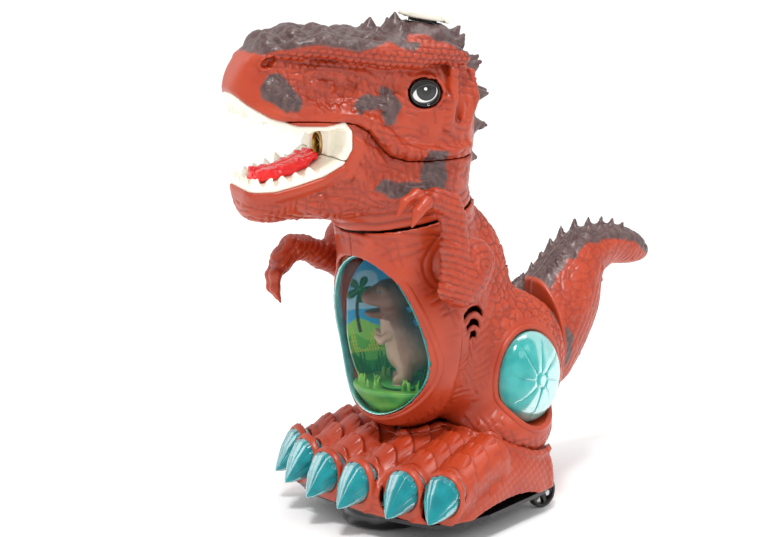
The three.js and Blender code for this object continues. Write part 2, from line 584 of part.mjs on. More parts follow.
function circuit_board() {
  const { halfWidth, front, back, low, high } = BOARD;
  const chip = box(-9, -1, -17, -15, 100, 108);
  const plug = box(3, 9, -17, -13, 92, 97);
  return box(-halfWidth, halfWidth, front, back, low, high).add(chip).add(plug);
}

// White dish with a lamp at its middle, behind each thigh window.
function thigh_reflector(side) {
  const dish = ellipsoid([0, 0, 0], [5, THIGH.ry - 2.5, THIGH.rz - 2.5], 16, 9);
  const bowl = dish.subtract(shifted(dish, 1.4, 0, 0)).intersect(box(-10, -0.6, -40, 40, -40, 40));
  const lamp = cylinder('x', [0, 0], 2.5, -4.2, 3, 10);
  const made = bowl.add(lamp);
  return shifted(side > 0 ? made : made.mirror([1, 0, 0]), side * 35.5, THIGH.y, THIGH.z);
}

// ---------------------------------------------------------------- arms, in a frame at the shoulder

// Upper arm down to the elbow, forearm up to the wrist, hand and two claws forward.
const UPPER_ARM = { path: [[0, 0, 0], [2, -5, -8], [3, -10, -13]], radii: [11, 11, 9.5] };
const FOREARM = {
  path: [[3, -9, -15], [3, -12, -6], [3, -14, 10], [3, -15, 24], [2, -18, 31], [1, -26, 35], [0, -33, 34]],
  radii: [6, 9.5, 8.6, 7.8, 8, 6.6, 4.6],
};
const FINGERS = [[[4, -31, 34], [6, -41, 31], [6, -47, 24]], [[-3, -31, 35], [-4, -41, 34], [-4, -49, 28]]];
const ARM_INNER_X = -11.6;      // the flat face towards the torso

function arm(side) {
  const fingers = FINGERS.map((path) => limb(path, [4.2, 3.4, 0.9], 6));
  const ball = ellipsoid([0, 0, 0], [11.5, 13.5, 13.5], 12, 7);
  const upper = limb(UPPER_ARM.path, UPPER_ARM.radii);
  const fore = limb(FOREARM.path, FOREARM.radii);
  const flesh = join([upper, fore, ...fingers, ball]);
  const pin = cylinder('x', [0, 0], SHOULDER.pin, -16.9, -6, 12);
  const flange = cylinder('x', [0, 0], SHOULDER.pin + 2, -16.9, -15.1, 12);
  const made = flesh.intersect(box(ARM_INNER_X, FAR, ...EVERYWHERE, ...EVERYWHERE)).add(pin).add(flange);
  return side > 0 ? made : made.mirror([1, 0, 0]);
}

// ---------------------------------------------------------------- tail

// One ring per station, square to the centreline except the first, which stands upright at the joint.
function tailRings(inset) {
  const sides = 14;
  const last = TAIL_STATIONS.length - 1;
  return TAIL_STATIONS.map(([y, z, radius], i) => {
    const [y0, z0] = TAIL_STATIONS[Math.max(i - 1, 0)];
    const [y1, z1] = TAIL_STATIONS[Math.min(i + 1, last)];
    const lean = i === 0 ? 0 : Math.atan2(z1 - z0, y1 - y0);
    const r = Math.max(radius - inset, 0.8);
    return Array.from({ length: sides }, (_, k) => {
      const t = (2 * Math.PI * k) / sides;
      const up = r * Math.sin(t);
      return new THREE.Vector3(TAIL_NARROW * r * Math.cos(t), y - up * Math.sin(lean), z + up * Math.cos(lean));
    });
  });
}

const TAIL_SPIKES = [[64, 123, 24], [74, 134, 18], [86, 143.5, 0], [99, 146, -12]];   // [y, z, lean in degrees]
function tailSpike([y, z, lean]) {
  const g = new THREE.ConeGeometry(4.5, 9, 6).rotateX(Math.PI / 2);
  return solid(g.rotateX(THREE.MathUtils.degToRad(lean)).translate(0, y, z - 1));
}

// The tail is open at the joint; a bridge across it carries the hub that turns on the pin.
function tailShell() {
  const rings = tailRings(WALL);
  const mouth = rings[0].map((p) => p.clone().setY(p.y - 2));
  const room = loft([mouth, ...rings.slice(0, -1)]);
  const hub = tube('z', [0, TAIL_PIN.y], TAIL_PIN.boss, TAIL_PIN.radius + GAP, 76, 94, 14);
  const bridge = box(-28, 28, TAIL_PIN.y - 3, TAIL_PIN.y + 3, 82, 88)
    .subtract(cylinder('z', [0, TAIL_PIN.y], TAIL_PIN.boss - 0.5, 70, 110, 14))
    .intersect(loft(tailRings(1)));
  return loft(tailRings(0)).add(join(TAIL_SPIKES.map(tailSpike))).subtract(room).add(bridge).add(hub);
}

// ---------------------------------------------------------------- feet and drive

// Rings mirrored about FOOT_BOTTOM, so that cutting there leaves a foot with upright sides.
function footRings(inset) {
  const last = FOOT_STATIONS.length - 1;
  const shift = (i) => (i === 0 ? inset : 0) - (i === last ? inset : 0);
  return FOOT_STATIONS.map(([y, w, top], i) => ringAtY(
    y + shift(i), w - inset, 2 * FOOT_BOTTOM - (top - inset), top - inset, FOOT_POWER, 16));
}

const WELL = { x0: 34.5, x1: 41.5, y0: 11.5, y1: 40, top: 20 };     // room above each rear wheel
const wheelWell = (s) => sideBox(s, WELL.x0, WELL.x1, WELL.y0, WELL.y1, 0, WELL.top);

function foot_shell() {
  const toes = TOES.flatMap(({ x, y }) => [1, -1].map((s) => ellipsoid([s * x, y, 27], [11, 17, 17], 8, 6)));
  const legs = torsoSolid(0.8).intersect(aboveLevel(TORSO_BOTTOM - 1));
  const sockets = both((s) => join(CLAWS.map((at) => clawBody(at, s, GAP))));
  return loft(footRings(0)).add(join(toes)).subtract(loft(footRings(WALL)))
    .intersect(aboveLevel(FOOT_BOTTOM))
    .subtract(legs)
    .subtract(sockets)
    .subtract(both(wheelWell));
}

// The foot's outline from below, shrunk by inset.
function plateShape(inset) {
  const endShift = (y) => (y < -80 ? inset : 0) - (y > 20 ? inset : 0);
  const right = FOOT_STATIONS.map(([y, w]) => [w - inset, y + endShift(y)]);
  return shapeOf([...right, ...right.map(([x, y]) => [-x, y]).reverse()]);
}

function base_plate() {
  const axle = [REAR_WHEEL.y, REAR_WHEEL.radius];
  const ears = both((s) => sideBox(s, 29, 32, REAR_WHEEL.y - 4, REAR_WHEEL.y + 3, 5, PLATE.z0 + 1));
  const bay = box(-COVER.halfWidth - 0.4, COVER.halfWidth + 0.4, COVER.y0 - 0.4, COVER.y1 + 0.4, 0, 30);
  const switchSlot = box(SWITCH.x - 3, SWITCH.x + 3, SWITCH.y - 6, SWITCH.y + 6, 0, 30);
  return prismAlongZ(plateShape(PLATE.inset), PLATE.z0, PLATE.z1).add(ears)
    .subtract(cylinder('z', [0, TURRET.y], TURRET.hub + 0.4, 0, 30, 24))
    .subtract(bay)
    .subtract(both(wheelWell))
    .subtract(cylinder('x', axle, REAR_WHEEL.axle + 0.1, -60, 60, 16))
    .subtract(switchSlot);
}

// A hollow clear claw cap that curves down to a point; its root plugs onto a toe.
const CLAW_OUTSIDE = [   // [y from the root, half width, z bottom, z top]
  [6, 7.5, 22, 40], [0, 9, 19.5, 41.5], [-7, 8, 18, 36], [-12, 4.5, 17.4, 26], [-14, 1.4, 17.2, 19.5],
];
const CLAW_INSIDE = [[8, 6, 23.5, 38.5], [-6.5, 6.2, 20, 34], [-10.5, 2, 19.4, 22]];

const clawLoft = (rows) => loft(rows.map(([dy, w, low, high]) => ringAtY(dy, w, low, high, 2.2, 8)));
const placeClaw = (made, { x, y, lean }, side) =>
  shifted(made.rotate([0, 0, toDegrees(side * lean)]), side * x, y, 0);

function clawBody(at, side, by) {
  const rows = CLAW_OUTSIDE.map(([dy, w, low, high]) =>
    [dy + (dy > 0 ? by : -by), w + by, low - by, high + by]);
  return placeClaw(clawLoft(rows), at, side);
}
const claw = (at, side) => clawBody(at, side, 0).subtract(placeClaw(clawLoft(CLAW_INSIDE), at, side));

function battery_box() {
  const { halfWidth, y0, y1, z0, z1, wall } = BAY;
  const room = box(wall - halfWidth, halfWidth - wall, y0 + wall, y1 - wall, z0 - 4, z1 - wall);
  return box(-halfWidth, halfWidth, y0, y1, z0, z1).subtract(room);
}

function battery_cover() {
  const at = [0, COVER.screwY];
  return box(-COVER.halfWidth, COVER.halfWidth, COVER.y0, COVER.y1, PLATE.z0, PLATE.z1)
    .subtract(cylinder('z', at, 1.7, 0, 30, 12))
    .subtract(cylinder('z', at, 3.2, 0, PLATE.z0 + 1, 12));
}
const battery_cover_screw = () => cylinder('z', [0, COVER.screwY], 2.9, PLATE.z0 + 0.1, PLATE.z0 + 0.8, 12)
  .add(cylinder('z', [0, COVER.screwY], 1.3, PLATE.z0 + 0.5, 15.4, 10));
const battery = (y) => cylinder('x', [y, CELL.z], CELL.radius, -CELL.length / 2, CELL.length / 2 - 1, 18)
  .add(cylinder('x', [y, CELL.z], 2.6, CELL.length / 2 - 1.5, CELL.length / 2, 12));

// The knob below the plate, the neck through the slot and the slider above the plate.
function power_switch() {
  const { x, y } = SWITCH;
  const knob = box(x - 2.4, x + 2.4, y - 2.5, y + 2.5, PLATE.z0 - 1.6, PLATE.z1 - 0.5);
  const neck = box(x - 1.5, x + 1.5, y - 1.5, y + 1.5, PLATE.z1 - 1, PLATE.z1 + 1);
  const slider = box(x - 4.5, x + 4.5, y - 5.5, y + 5.5, PLATE.z1 + 0.2, PLATE.z1 + 1.6);
  return knob.add(neck).add(slider);
}

function drive_turret() {
  const { y, radius, z0, z1, hub, top, wall } = TURRET;
  const cup = cylinder('z', [0, y], radius, z0, z1, 28).add(cylinder('z', [0, y], hub, z1 - 1, top, 24));
  const room = cylinder('z', [0, y], hub - wall, z0 - 1, top - wall, 20);
  return cup.subtract(room)
    .subtract(cylinder('x', [y, DRIVE_WHEEL.radius], DRIVE_WHEEL.axle + 0.08, -60, 60, 16));
}
const turret_retainer = () => tube(
  'z', [0, TURRET.y], TURRET.radius - 0.5, TURRET.hub + 0.04, PLATE.z1 + 0.5, PLATE.z1 + 2, 24);

const MOTOR_SHAFT = 0.8;
const pitchRadius = (teeth) => (GEAR.module * teeth) / 2;
const pinionZ = DRIVE_WHEEL.radius + pitchRadius(GEAR.teeth) + pitchRadius(GEAR.pinionTeeth) + GEAR.backlash;

// A spur gear on the x axis with plain trapezoid teeth; phase is in tooth pitches.
function spurGear(teeth, phase) {
  const tip = pitchRadius(teeth) + 0.75 * GEAR.module;
  const root = pitchRadius(teeth) - 1.1 * GEAR.module;
  const flanks = [[-0.30, root], [-0.13, tip], [0.13, tip], [0.30, root]];
  const points = [];
  for (let i = 0; i < teeth; i++) {
    for (const [at, r] of flanks) {
      const t = ((i + at + phase) * 2 * Math.PI) / teeth;
      points.push([r * Math.cos(t), r * Math.sin(t)]);
    }
  }
  return prismAlongX(shapeOf(points), GEAR.width / 2);
}
const quarterPhase = (teeth) => (teeth / 4) % 1;

// The axle and its gear are one moulding, and so are the pinion and the motor's shaft.
function drive_axle() {
  const gear = spurGear(GEAR.teeth, quarterPhase(GEAR.teeth));
  return cylinder('x', [TURRET.y, DRIVE_WHEEL.radius], DRIVE_WHEEL.axle, -20.5, 20.5, 14)
    .add(shifted(gear, GEAR.x, TURRET.y, DRIVE_WHEEL.radius));
}

function drive_pinion() {
  const gear = spurGear(GEAR.pinionTeeth, 0.5 - quarterPhase(GEAR.pinionTeeth));
  return cylinder('x', [TURRET.y, pinionZ], MOTOR_SHAFT, GEAR.x - 2.4, 7, 12)
    .add(shifted(gear, GEAR.x, TURRET.y, pinionZ));
}

// The drive motor rides in the turret.
const drive_motor = () => cylinder('x', [TURRET.y, pinionZ], 6, GEAR.x + 3, 8.2, 16)
  .subtract(cylinder('x', [TURRET.y, pinionZ], MOTOR_SHAFT + 0.1, -20, 7.4, 12));

// A wheel with a dished outer face.
function wheel(side, { x, radius, width, axle }, y) {
  const face = side * (x + width / 2);
  const dish = tube('x', [y, radius], radius - 2.2, 3.4, face - 1, face + 1, 16);
  return cylinder('x', [y, radius], radius, side * x - width / 2, side * x + width / 2, 20)
    .subtract(dish)
    .subtract(cylinder('x', [y, radius], axle + 0.05, -80, 80, 14));
}
const rear_axle = () => cylinder('x', [REAR_WHEEL.y, REAR_WHEEL.radius], REAR_WHEEL.axle, -43, 43, 14);

// ---------------------------------------------------------------- assembly

const toy = new THREE.Group();
const put = (parent, name, made, mat) => parent.add(meshOf(name, made, mat));

const head = new THREE.Group();
head.position.copy(NECK);
head.quaternion.setFromAxisAngle(new THREE.Vector3(0, -Math.sin(NECK_TILT), Math.cos(NECK_TILT)), HEAD_TURN);
toy.add(head);
put(head, 'skull_shell', skull_shell(), M.skin);
put(head, 'jaw_shell', jaw_shell(), M.skin);
put(head, 'upper_mouth_liner', upper_mouth_liner(), M.cream);
put(head, 'lower_mouth_liner', lower_mouth_liner(), M.cream);
put(head, 'tongue', tongue(), M.tongue);
put(head, 'outlet_ring', outlet_ring(), M.brass);
put(head, 'eye_left', eye(1), M.eye);
put(head, 'eye_right', eye(-1), M.eye);
put(head, 'filler_lid', filler_lid(), M.cream);
put(head, 'lid_seal', lid_seal(), M.rubber);
put(head, 'solution_tank', solution_tank(), M.clear);
put(head, 'feed_tube', feed_tube(), M.clear);
put(head, 'air_duct', air_duct(), M.white);
put(head, 'fan_impeller', fan_impeller(), M.white);
put(head, 'fan_motor', fan_motor(), M.steel);
put(head, 'neck_spigot', neck_spigot(), M.white);

put(toy, 'torso_shell_left', torso_shell_left(), M.skin);
put(toy, 'torso_shell_right', torso_shell_right(), M.skin);
put(toy, 'chest_window', chest_window(), M.teal);
put(toy, 'thigh_window_left', thigh_window(1), M.teal);
put(toy, 'thigh_window_right', thigh_window(-1), M.teal);
put(toy, 'scene_backdrop', scene_backdrop(), M.card);
put(toy, 'small_dinosaur', small_dinosaur(), M.figure);
put(toy, 'figure_motor', figure_motor(), M.steel);
put(toy, 'speaker', speaker(), M.black);
put(toy, 'circuit_board', circuit_board(), M.board);
put(toy, 'neck_bearing', neck_bearing(), M.white);
put(toy, 'tail_yoke', tail_yoke(), M.white);
put(toy, 'tail_pin', tail_pin(), M.steel);
put(toy, 'thigh_reflector_left', thigh_reflector(1), M.white);
put(toy, 'thigh_reflector_right', thigh_reflector(-1), M.white);

for (const [name, side, turn] of [['arm_left', 1, ARM_RAISED], ['arm_right', -1, ARM_LOWERED]]) {
  const shoulder = new THREE.Group();
  shoulder.position.set(side * SHOULDER.x, SHOULDER.y, SHOULDER.z);
  shoulder.rotation.x = turn;
  toy.add(shoulder);
  put(shoulder, name, arm(side), M.skin);
}

const wholeTail = tailShell();
put(toy, 'tail_shell_left', wholeTail.intersect(leftHalf()), M.skin);
put(toy, 'tail_shell_right', wholeTail.intersect(rightHalf()), M.skin);

put(toy, 'foot_shell', foot_shell(), M.skin);
put(toy, 'base_plate', base_plate(), M.black);
for (const [side, word] of [[1, 'left'], [-1, 'right']]) {
  CLAWS.forEach((at, i) => put(toy, `claw_${word}_${i + 1}`, claw(at, side), M.teal));
}
put(toy, 'battery_box', battery_box(), M.black);
put(toy, 'battery_cover', battery_cover(), M.black);
put(toy, 'battery_cover_screw', battery_cover_screw(), M.steel);
CELL.ys.forEach((y, i) => put(toy, `battery_${i + 1}`, battery(y), M.cell));
put(toy, 'power_switch', power_switch(), M.black);

put(toy, 'drive_turret', drive_turret(), M.black);
put(toy, 'turret_retainer', turret_retainer(), M.white);
put(toy, 'drive_axle', drive_axle(), M.steel);
put(toy, 'drive_pinion', drive_pinion(), M.white);
put(toy, 'drive_motor', drive_motor(), M.steel);
put(toy, 'rear_axle', rear_axle(), M.steel);
for (const [side, word] of [[1, 'left'], [-1, 'right']]) {
  put(toy, `drive_wheel_${word}`, wheel(side, DRIVE_WHEEL, TURRET.y), M.rubber);
  put(toy, `rear_wheel_${word}`, wheel(side, REAR_WHEEL, REAR_WHEEL.y), M.black);
}

export default toy;
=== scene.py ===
"""Looks of the dinosaur bubble machine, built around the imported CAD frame, in millimetres."""

import math
from itertools import product

import bpy
import numpy as np
import openvdb
from mathutils import Matrix, Vector


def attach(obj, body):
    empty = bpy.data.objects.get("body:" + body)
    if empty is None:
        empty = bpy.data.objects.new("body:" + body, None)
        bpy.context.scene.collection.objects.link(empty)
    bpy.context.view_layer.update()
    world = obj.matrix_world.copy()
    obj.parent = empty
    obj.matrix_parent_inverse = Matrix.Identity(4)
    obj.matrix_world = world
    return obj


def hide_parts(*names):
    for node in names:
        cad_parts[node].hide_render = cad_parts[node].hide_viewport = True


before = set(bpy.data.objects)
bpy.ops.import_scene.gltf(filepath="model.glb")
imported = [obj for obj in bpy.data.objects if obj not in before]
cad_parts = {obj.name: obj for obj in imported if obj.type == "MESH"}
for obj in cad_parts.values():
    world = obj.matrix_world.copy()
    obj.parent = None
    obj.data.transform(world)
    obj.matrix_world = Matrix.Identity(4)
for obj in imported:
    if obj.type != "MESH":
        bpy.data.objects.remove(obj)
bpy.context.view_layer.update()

MM = 0.001
WALL = 2.2
GAP = 0.35
SIDES = ((1, "left"), (-1, "right"))

# ---------------------------------------------------------------- numpy helpers


def smoothstep(v, a, b):
    t = np.clip((v - a) / (b - a), 0, 1)
    return t * t * (3 - 2 * t)


def smooth_curve(xs, ys, at):
    """A soft cubic through the points (xs, ys), evaluated at `at`."""
    xs, ys = np.asarray(xs, float), np.asarray(ys, float)
    slope = np.gradient(ys, xs)
    i = np.clip(np.searchsorted(xs, at) - 1, 0, len(xs) - 2)
    h = xs[i + 1] - xs[i]
    t = np.clip((at - xs[i]) / h, 0, 1)
    a, b = ys[i], ys[i + 1]
    return ((2 * t**3 - 3 * t**2 + 1) * a + (t**3 - 2 * t**2 + t) * h * slope[i]
            + (3 * t**2 - 2 * t**3) * b + (t**3 - t**2) * h * slope[i + 1]).astype(np.float32)


def join(a, b, k=0.0):
    """Union of two distance fields, rounded over k where they meet."""
    if k <= 0:
        return np.minimum(a, b)
    h = np.maximum(k - np.abs(a - b), 0)
    return np.minimum(a, b) - h * h / (4 * k)


def meet(a, b, k=0.0):
    return -join(-a, -b, k)


def cut(a, b, k=0.0):
    """a with b taken away."""
    return -join(-a, b, k)


def ellipsoid(p, centre, radii):
    q = [(p[i] - centre[i]) / radii[i] for i in range(3)]
    k0 = np.sqrt(sum(c**2 for c in q))
    k1 = np.sqrt(sum((c / r) ** 2 for c, r in zip(q, radii)))
    return k0 * (k0 - 1) / np.maximum(k1, 1e-6)


def block(p, low, high, rounding=0.0):
    d = [np.abs(p[i] - (low[i] + high[i]) / 2) - (high[i] - low[i]) / 2 + rounding for i in range(3)]
    outside = np.sqrt(sum(np.maximum(v, 0) ** 2 for v in d))
    return outside + np.minimum(np.maximum(np.maximum(d[0], d[1]), d[2]), 0) - rounding


def limb(p, points, radii, k=0.0):
    """A chain of tapered round segments."""
    made = None
    for a, b, ra, rb in zip(points, points[1:], radii, radii[1:]):
        a, b = np.array(a, float), np.array(b, float)
        ab = b - a
        t = sum((p[i] - a[i]) * ab[i] for i in range(3)) / (ab @ ab)
        t = np.clip(t, 0, 1)
        d = np.sqrt(sum((p[i] - a[i] - t * ab[i]) ** 2 for i in range(3))) - (ra + (rb - ra) * t)
        made = d if made is None else join(made, d, k)
    return made


def along_path(u, v, points):
    """Distance to an open path in the (u, v) plane, and how far along it the nearest point lies."""
    best, at, start = np.inf, 0, 0.0
    for (ax, ay), (bx, by) in zip(points, points[1:]):
        ex, ey = bx - ax, by - ay
        length = math.hypot(ex, ey)
        t = np.clip(((u - ax) * ex + (v - ay) * ey) / length**2, 0, 1)
        d = np.hypot(u - ax - t * ex, v - ay - t * ey)
        at = np.where(d < best, start + t * length, at)
        best = np.minimum(best, d)
        start += length
    return best, at


def polygon(u, v, corners):
    """Distance to a polygon in the (u, v) plane, below zero inside it."""
    closed = corners + corners[:1]
    inside = False
    for (ax, ay), (bx, by) in zip(closed, closed[1:]):
        if ay != by:
            inside = inside ^ (((ay > v) != (by > v)) & (u < (bx - ax) * (v - ay) / (by - ay) + ax))
    return along_path(u, v, closed)[0] * np.where(inside, -1, 1)


def loft(p, stations, power):
    """Superellipse sections [y, half width, low, high] along y, softly joined."""
    ys, half, low, high = zip(*stations)
    w, lo, hi = (smooth_curve(ys, s, p[1]) for s in (half, low, high))
    h = (hi - lo) / 2
    f = (np.abs(p[0] / w) ** power + np.abs((p[2] - (lo + hi) / 2) / h) ** power) ** (1 / power) - 1
    return f * np.minimum(w, h)


def hashed(i, j, k, seed):
    h = (i.astype(np.uint32) * np.uint32(73856093)) ^ (j.astype(np.uint32) * np.uint32(19349663))
    h ^= (k.astype(np.uint32) * np.uint32(83492791)) ^ np.uint32(seed * 2654435761 % 4294967296)
    h ^= h >> np.uint32(15)
    h *= np.uint32(2246822519)
    h ^= h >> np.uint32(13)
    h *= np.uint32(3266489917)
    h ^= h >> np.uint32(16)
    return (h & np.uint32(0xFFFFFF)).astype(np.float32) / 0xFFFFFF


def cells(v, size, seed=1):
    """Distance to the nearest and to the next cell centre, in cell sizes, and a random number per cell."""
    q = np.asarray(v, np.float32) / np.array(size, np.float32)
    base = np.floor(q).astype(np.int64)
    first = np.full(len(q), 9.0, np.float32)
    second = first.copy()
    chosen = np.zeros(len(q), np.float32)
    for offset in product((-1, 0, 1), repeat=3):
        c = base + offset
        r = [hashed(*c.T, seed + s) for s in range(3)]
        d = np.sqrt(sum((c[:, a] + r[a] - q[:, a]) ** 2 for a in range(3))).astype(np.float32)
        nearer = d < first
        second = np.where(nearer, first, np.minimum(second, d))
        chosen = np.where(nearer, r[0], chosen)
        first = np.where(nearer, d, first)
    return first, second, chosen


def noise(v, size, seed=1):
    """Smooth random values from -1 to 1."""
    q = np.asarray(v, np.float32) / size
    base = np.floor(q).astype(np.int64)
    t = q - base
    t = t * t * (3 - 2 * t)
    total = 0
    for corner in product((0, 1), repeat=3):
        weight = np.prod(np.abs(1 - np.array(corner) - t), axis=1)
        total = total + weight * hashed(*(base + corner).T, seed)
    return total * 2 - 1


def warped(v, amount, size, seed):
    """v with each coordinate moved by its own noise."""
    return v + amount * np.stack([noise(v, size, seed + k) for k in range(3)], 1)


def scales(v, size, seed, groove=0.16):
    """1 on the flat of each scale and 0 in the cracks between scales."""
    first, second, chosen = cells(v, size, seed)
    return smoothstep(second - first, 0.02, groove), first, chosen


def hatch(v, first, second, pitch, seed):
    """Two crossing families of broken creases, 0 on the skin and 1 in a crease."""
    made = np.zeros(len(v))
    for k, direction in enumerate((first, second)):
        d = np.array(direction, float)
        s = v @ (d / np.linalg.norm(d)) + 3.2 * noise(v, 13, seed + k) + 0.8 * noise(v, 4.5, seed + 3 + k)
        broken = smoothstep(noise(v, 6, seed + 6 + k), -0.25, 0.25)
        made = np.maximum(made, wrinkles(s, pitch, 5) * broken)
    return made


def wrinkles(s, pitch, sharp=3):
    """0 on the skin and 1 in evenly spaced creases across s."""
    return (0.5 + 0.5 * np.cos(2 * np.pi * s / pitch)) ** sharp


# ---------------------------------------------------------------- fields on a grid, and meshes


class Grid:
    def __init__(self, low, high, step):
        self.low, self.step = np.array(low, np.float32), step
        self.n = np.ceil((np.array(high) - self.low) / step).astype(int) + 1
        axes = [self.low[i] + step * np.arange(self.n[i], dtype=np.float32) for i in range(3)]
        self.p = (axes[0][:, None, None], axes[1][None, :, None], axes[2][None, None, :])

    def full(self, field):
        return np.broadcast_to(field, tuple(self.n)).astype(np.float32)

    def even(self, field):
        """The field scaled so that it grows by one millimetre per millimetre near the surface."""
        field = self.full(field)
        g = np.gradient(field, self.step)
        size = np.sqrt(g[0] ** 2 + g[1] ** 2 + g[2] ** 2)
        return field / np.maximum(size, 0.35)

    def sample(self, field, v):
        q = (v - self.low) / self.step
        q = np.clip(q, 0, self.n - 1.001)
        b = q.astype(int)
        t = q - b
        total = 0
        for corner in product((0, 1), repeat=3):
            weight = np.prod(np.abs(1 - np.array(corner) - t), axis=1)
            total = total + weight * field[tuple((b + corner).T)]
        return total

    def surface(self, field):
        """Corner points in millimetres and four-sided faces of the field's zero level."""
        vdb = openvdb.FloatGrid(3.0)
        vdb.copyFromArray(np.clip(self.full(field) / self.step, -3, 3))
        points, quads = vdb.convertToQuads(0.0)
        return points.astype(float) * self.step + self.low, quads.astype(np.int32)


def normals_of(v, faces):
    """The unit normal at each point of a mesh of four-sided faces."""
    n = np.cross(v[faces[:, 2]] - v[faces[:, 0]], v[faces[:, 3]] - v[faces[:, 1]])
    total = np.zeros_like(v)
    for corner, axis in product(range(4), range(3)):
        total[:, axis] += np.bincount(faces[:, corner], n[:, axis], len(v))
    return total / np.maximum(np.linalg.norm(total, axis=1, keepdims=True), 1e-9)


def smoothed(v, faces, rounds=1):
    """Moves each point half way to the middle of its neighbours, on a mesh of four-sided faces."""
    ends = np.concatenate([faces.ravel(), np.roll(faces, -1, 1).ravel()])
    others = np.concatenate([np.roll(faces, -1, 1).ravel(), faces.ravel()])
    count = np.maximum(np.bincount(ends, minlength=len(v)), 1)[:, None]
    for _ in range(rounds):
        total = np.stack([np.bincount(ends, v[others, axis], len(v)) for axis in range(3)], 1)
        v = 0.5 * v + 0.5 * total / count
    return v


def across_x(v, y, z):
    """Turns a body made about z so that its axis runs along x through (y, z)."""
    return np.stack([v[:, 2], v[:, 0] + y, v[:, 1] + z], 1)


def mirrored(v, faces, s):
    """The mesh as it is for s = 1, and its mirror image for s = -1."""
    return v * np.array((s, 1, 1)), faces if s > 0 else faces[:, ::-1]


def turned(v, axis, angle):
    """v turned about the X, Y or Z axis."""
    return v @ np.array(Matrix.Rotation(angle, 3, axis)).T


def piece(name, v, faces, material, body, replaces=(), slot=None, smooth=True, masks=None, colour=None):
    """One mesh piece that rides on a body. v is in millimetres; masks hold one value per point."""
    mesh = bpy.data.meshes.new(name)
    faces = np.asarray(faces, np.int32)
    mesh.vertices.add(len(v))
    mesh.vertices.foreach_set("co", (np.asarray(v, float) * MM).astype(np.float32).ravel())
    mesh.loops.add(faces.size)
    mesh.loops.foreach_set("vertex_index", faces.ravel())
    mesh.polygons.add(len(faces))
    mesh.polygons.foreach_set("loop_start", np.arange(0, faces.size, faces.shape[1], dtype=np.int32))
    mesh.update(calc_edges=True)
    mesh.validate()
    mesh.polygons.foreach_set("use_smooth", np.full(len(mesh.polygons), smooth))
    for key, values in (masks or {}).items():
        mesh.attributes.new(key, "FLOAT", "POINT").data.foreach_set("value", np.asarray(values, np.float32))
    if colour is not None:
        rgba = np.concatenate([colour, np.ones((len(v), 1))], 1).astype(np.float32)
        mesh.color_attributes.new("Colour", "FLOAT_COLOR", "POINT").data.foreach_set("color", rgba.ravel())
    made = bpy.data.objects.new(name, mesh)
    bpy.context.scene.collection.objects.link(made)
    made.data.materials.append(material)
    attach(made, body)
    if replaces:
        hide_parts(*replaces)
    return made


def sheet_faces(rows, columns, closed=False):
    """Faces of a rows by columns net of points; closed joins the last column to the first."""
    r = np.arange(rows - 1)[:, None]
    c = np.arange(columns if closed else columns - 1)[None, :]
    after = (c + 1) % columns
    this_row, next_row = r * columns, (r + 1) * columns
    corners = (this_row + c, this_row + after, next_row + after, next_row + c)
    return np.stack(np.broadcast_arrays(*corners), -1).reshape(-1, 4).astype(np.int32)


def lathe(profile, sides=64):
    """A closed ring-by-ring body turned about z from [radius, z] points that start and end near the axis."""
    profile = np.array(profile, float)
    t = np.arange(sides) * 2 * np.pi / sides
    radius, height = profile[:, :1], np.repeat(profile[:, 1:], sides, 1)
    v = np.stack([radius * np.cos(t), radius * np.sin(t), height], -1)
    return v.reshape(-1, 3), sheet_faces(len(profile), sides, True)


def closed_lathe(profile, sides=64):
    """As lathe, with the last point joined back to the first, for rings and cups with a wall."""
    profile = list(profile) + [profile[0]]
    v, faces = lathe(profile, sides)
    last = (len(profile) - 1) * sides
    faces = np.where(faces >= last, faces - last, faces)
    return v[:last], faces


def merged(*parts):
    v, f, at = [], [], 0
    for points, faces in parts:
        v.append(points)
        f.append(np.asarray(faces) + at)
        at += len(points)
    return np.concatenate(v), np.concatenate(f)


# ---------------------------------------------------------------- materials


def srgb(r, g, b):
    return tuple(((c / 255 + 0.055) / 1.055) ** 2.4 if c > 10 else c / 255 / 12.92 for c in (r, g, b)) + (1,)


def tone(r, g, b):
    return np.array(srgb(r, g, b)[:3])


def painted_over(colour, mask, shade):
    """The colours with `shade` laid over them where mask is 1."""
    return colour + np.clip(mask, 0, 1)[:, None] * (tone(*shade) - colour)


def new_material(name, **sockets):
    mat = bpy.data.materials.new(name)
    mat.use_nodes = True
    shader = mat.node_tree.nodes["Principled BSDF"]
    for key, value in sockets.items():
        shader.inputs[key.replace("_", " ")].default_value = value
    return mat, mat.node_tree, shader


def node(tree, kind, **values):
    made = tree.nodes.new(kind)
    for key, value in values.items():
        if hasattr(made, key) and key not in ("Scale", "Detail"):
            setattr(made, key, value)
        else:
            made.inputs[key.replace("_", " ")].default_value = value
    return made


def mixed(tree, factor, a, b, blend="MIX"):
    """A colour mix; a and b are colours or output sockets, factor a number or an output socket."""
    mix = tree.nodes.new("ShaderNodeMix")
    mix.data_type = "RGBA"
    mix.blend_type = blend
    for socket, value in ((mix.inputs[0], factor), (mix.inputs[6], a), (mix.inputs[7], b)):
        if isinstance(value, bpy.types.NodeSocket):
            tree.links.new(value, socket)
        else:
            socket.default_value = value
    return mix.outputs[2]


def noise_out(tree, scale, detail=4, low=0.35, high=0.65):
    """Noise over places in the scene, stretched so that low to high fills 0 to 1."""
    place = tree.nodes.new("ShaderNodeNewGeometry")
    tex = node(tree, "ShaderNodeTexNoise", Scale=scale, Detail=detail)
    span = node(tree, "ShaderNodeMapRange")
    span.inputs["From Min"].default_value = low
    span.inputs["From Max"].default_value = high
    tree.links.new(place.outputs["Position"], tex.inputs["Vector"])
    tree.links.new(tex.outputs["Fac"], span.inputs["Value"])
    return span.outputs["Result"]


